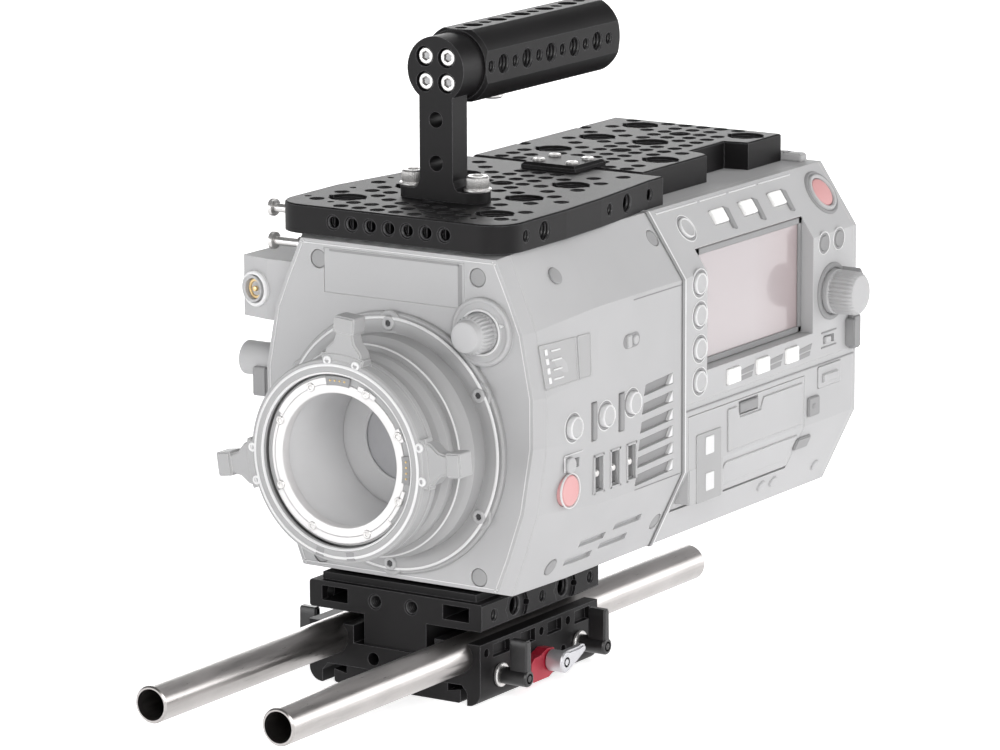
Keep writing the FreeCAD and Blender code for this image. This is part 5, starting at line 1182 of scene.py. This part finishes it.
def release_lever():
    node = "release_lever"
    matrix = facing(46.7, 43.0, -9.3, RIGHT)
    hub = lathe([(0, -10.7), (2.5, -10.7), (2.5, 0), (4.1, 0), (4.4, 0.4), (4.4, 7.2), (3.9, 7.8),
                 (0, 7.8)], 64)
    stand_in(node, "release_hub", hub, matrix, LEVER_GREY)
    arm = slab([(-3.0, -3.0), (1.0, -4.1), (5.0, -3.2), (10.0, -1.0), (14.4, 1.2), (15.2, 2.6), (14.8, 4.2),
                (13.0, 4.7), (9.0, 4.2), (4.0, 4.3), (-1.0, 4.2), (-3.6, 2.4)], 3.8, 7.7, 0.9, 3)
    piece("release_arm", arm, matrix, LEVER_GREY, node)
    screw = lathe([(0, 7.0), (2.4, 7.0), (2.4, 7.6), (2.1, 7.8), (1.3, 7.8), (1.15, 7.7, 6), (1.1, 7.2, 6),
                   (0, 7.1)], 48)
    bright_piece("release_screw", screw, matrix, SILVER, node)


# ------------------------------------------------------------ floor and light


def round_wall(floor_z):
    """A white wall far round the rig that curves up out of the floor."""
    mesh = bmesh.new()
    loops = []
    for radius, height in ((9.0, 0.002), (10.6, 0.2), (11.5, 1.0), (11.7, 3.4)):
        loops.append([mesh.verts.new((*polar(radius, angle), floor_z + height))
                      for angle in range(0, 360, 4)])
    for lower, upper in zip(loops, loops[1:]):
        bridge(mesh, lower, upper)
    return as_object("studio_wall", mesh)


def studio():
    """A pale floor and round wall, soft boxes and a camera on the rig's front quarter."""
    low = cad_box[0]
    bpy.ops.mesh.primitive_plane_add(size=24, location=(0, 4.0, low.z))
    floor = bpy.context.object
    floor.name = "studio_floor"
    build = Nodes("studio_paper")
    cloud = build.noise(build.place(), 3.0, 2.0)
    paper = build.mix(cloud, (0.84, 0.835, 0.84), (0.87, 0.865, 0.87))
    build.feed("Base Color", paper)
    build.preset("Emission Color", (1.0, 1.0, 1.0, 1.0))
    build.preset("Emission Strength", FLOOR_GLOW)
    build.preset("Roughness", 0.7)
    build.preset("Specular IOR Level", 0.25)
    floor.data.materials.append(build.material)
    wall = round_wall(low.z)
    wall.data.materials.append(build.material)

    world = bpy.data.worlds.new("studio_room")
    bpy.context.scene.world = world
    world.use_nodes = True
    background = world.node_tree.nodes["Background"]
    background.inputs["Color"].default_value = (1.0, 1.0, 1.0, 1.0)
    background.inputs["Strength"].default_value = WORLD_STRENGTH

    for name, place, size, power, tint in LIGHTS:
        lamp = bpy.data.lights.new(name, "AREA")
        lamp.shape = "RECTANGLE"
        lamp.size = size[0]
        lamp.size_y = size[1]
        lamp.energy = power
        lamp.color = tint
        item = bpy.data.objects.new(name, lamp)
        item.location = place
        aim = Vector((0.0, 0.03, 0.10)) - Vector(place)
        item.rotation_euler = aim.to_track_quat("-Z", "Y").to_euler()
        bpy.context.scene.collection.objects.link(item)

    azimuth, elevation, roll = (math.radians(angle) for angle in CAMERA_ANGLES)
    outward = Vector((math.sin(azimuth) * math.cos(elevation), -math.cos(azimuth) * math.cos(elevation),
                      math.sin(elevation)))
    side = (-outward).cross(Vector((0, 0, 1))).normalized()
    upward = side.cross(-outward)
    right = math.cos(roll) * side + math.sin(roll) * upward
    top = math.cos(roll) * upward - math.sin(roll) * side
    turn = Matrix((right, top, outward)).transposed().to_4x4()
    lens = bpy.data.cameras.new("studio_camera")
    lens.sensor_width = 36.0
    lens.lens = CAMERA_LENS
    lens.clip_end = 60.0
    camera = bpy.data.objects.new("studio_camera", lens)
    camera.matrix_world = Matrix.Translation(spot(*CAMERA_PLACE)) @ turn
    bpy.context.scene.collection.objects.link(camera)
    bpy.context.scene.camera = camera
    bpy.context.scene.view_settings.view_transform = "Standard"


CAMERA_ANGLES = (32.904, 12.089, -0.2435)
CAMERA_LENS = 193.393
CAMERA_PLACE = (1170.195, -1730.262, 558.046)
WORLD_STRENGTH = 0.15
FLOOR_GLOW = 0.72
LIGHTS = (
    ("side_box", (2.2, 1.9, 0.5), (2.2, 1.6), 33.0, (1.0, 0.995, 1.0)),
    ("rear_box", (-1.5, 2.4, 0.75), (1.8, 1.1), 22.0, (1.0, 1.0, 1.0)),
    ("fill_box", (-1.3, -2.3, 0.35), (2.0, 1.2), 26.0, (0.98, 0.99, 1.0)),
    ("key_box", (1.6, -1.6, 1.2), (1.3, 1.0), 30.0, (1.0, 0.99, 0.985)),
    ("top_box", (0.1, 0.5, 1.9), (1.4, 1.4), 9.0, (1.0, 1.0, 1.0)),
)

paint_frame()
for build_pieces in (
        silver_pieces, lock_ring, seat_ring, port_details, filter_dial, front_details, camera_side,
        left_details, recorder_keys, jog_dial, screen_details, door_details, recorder_details, clamp_levers,
        release_lever, threads, studio):
    build_pieces()
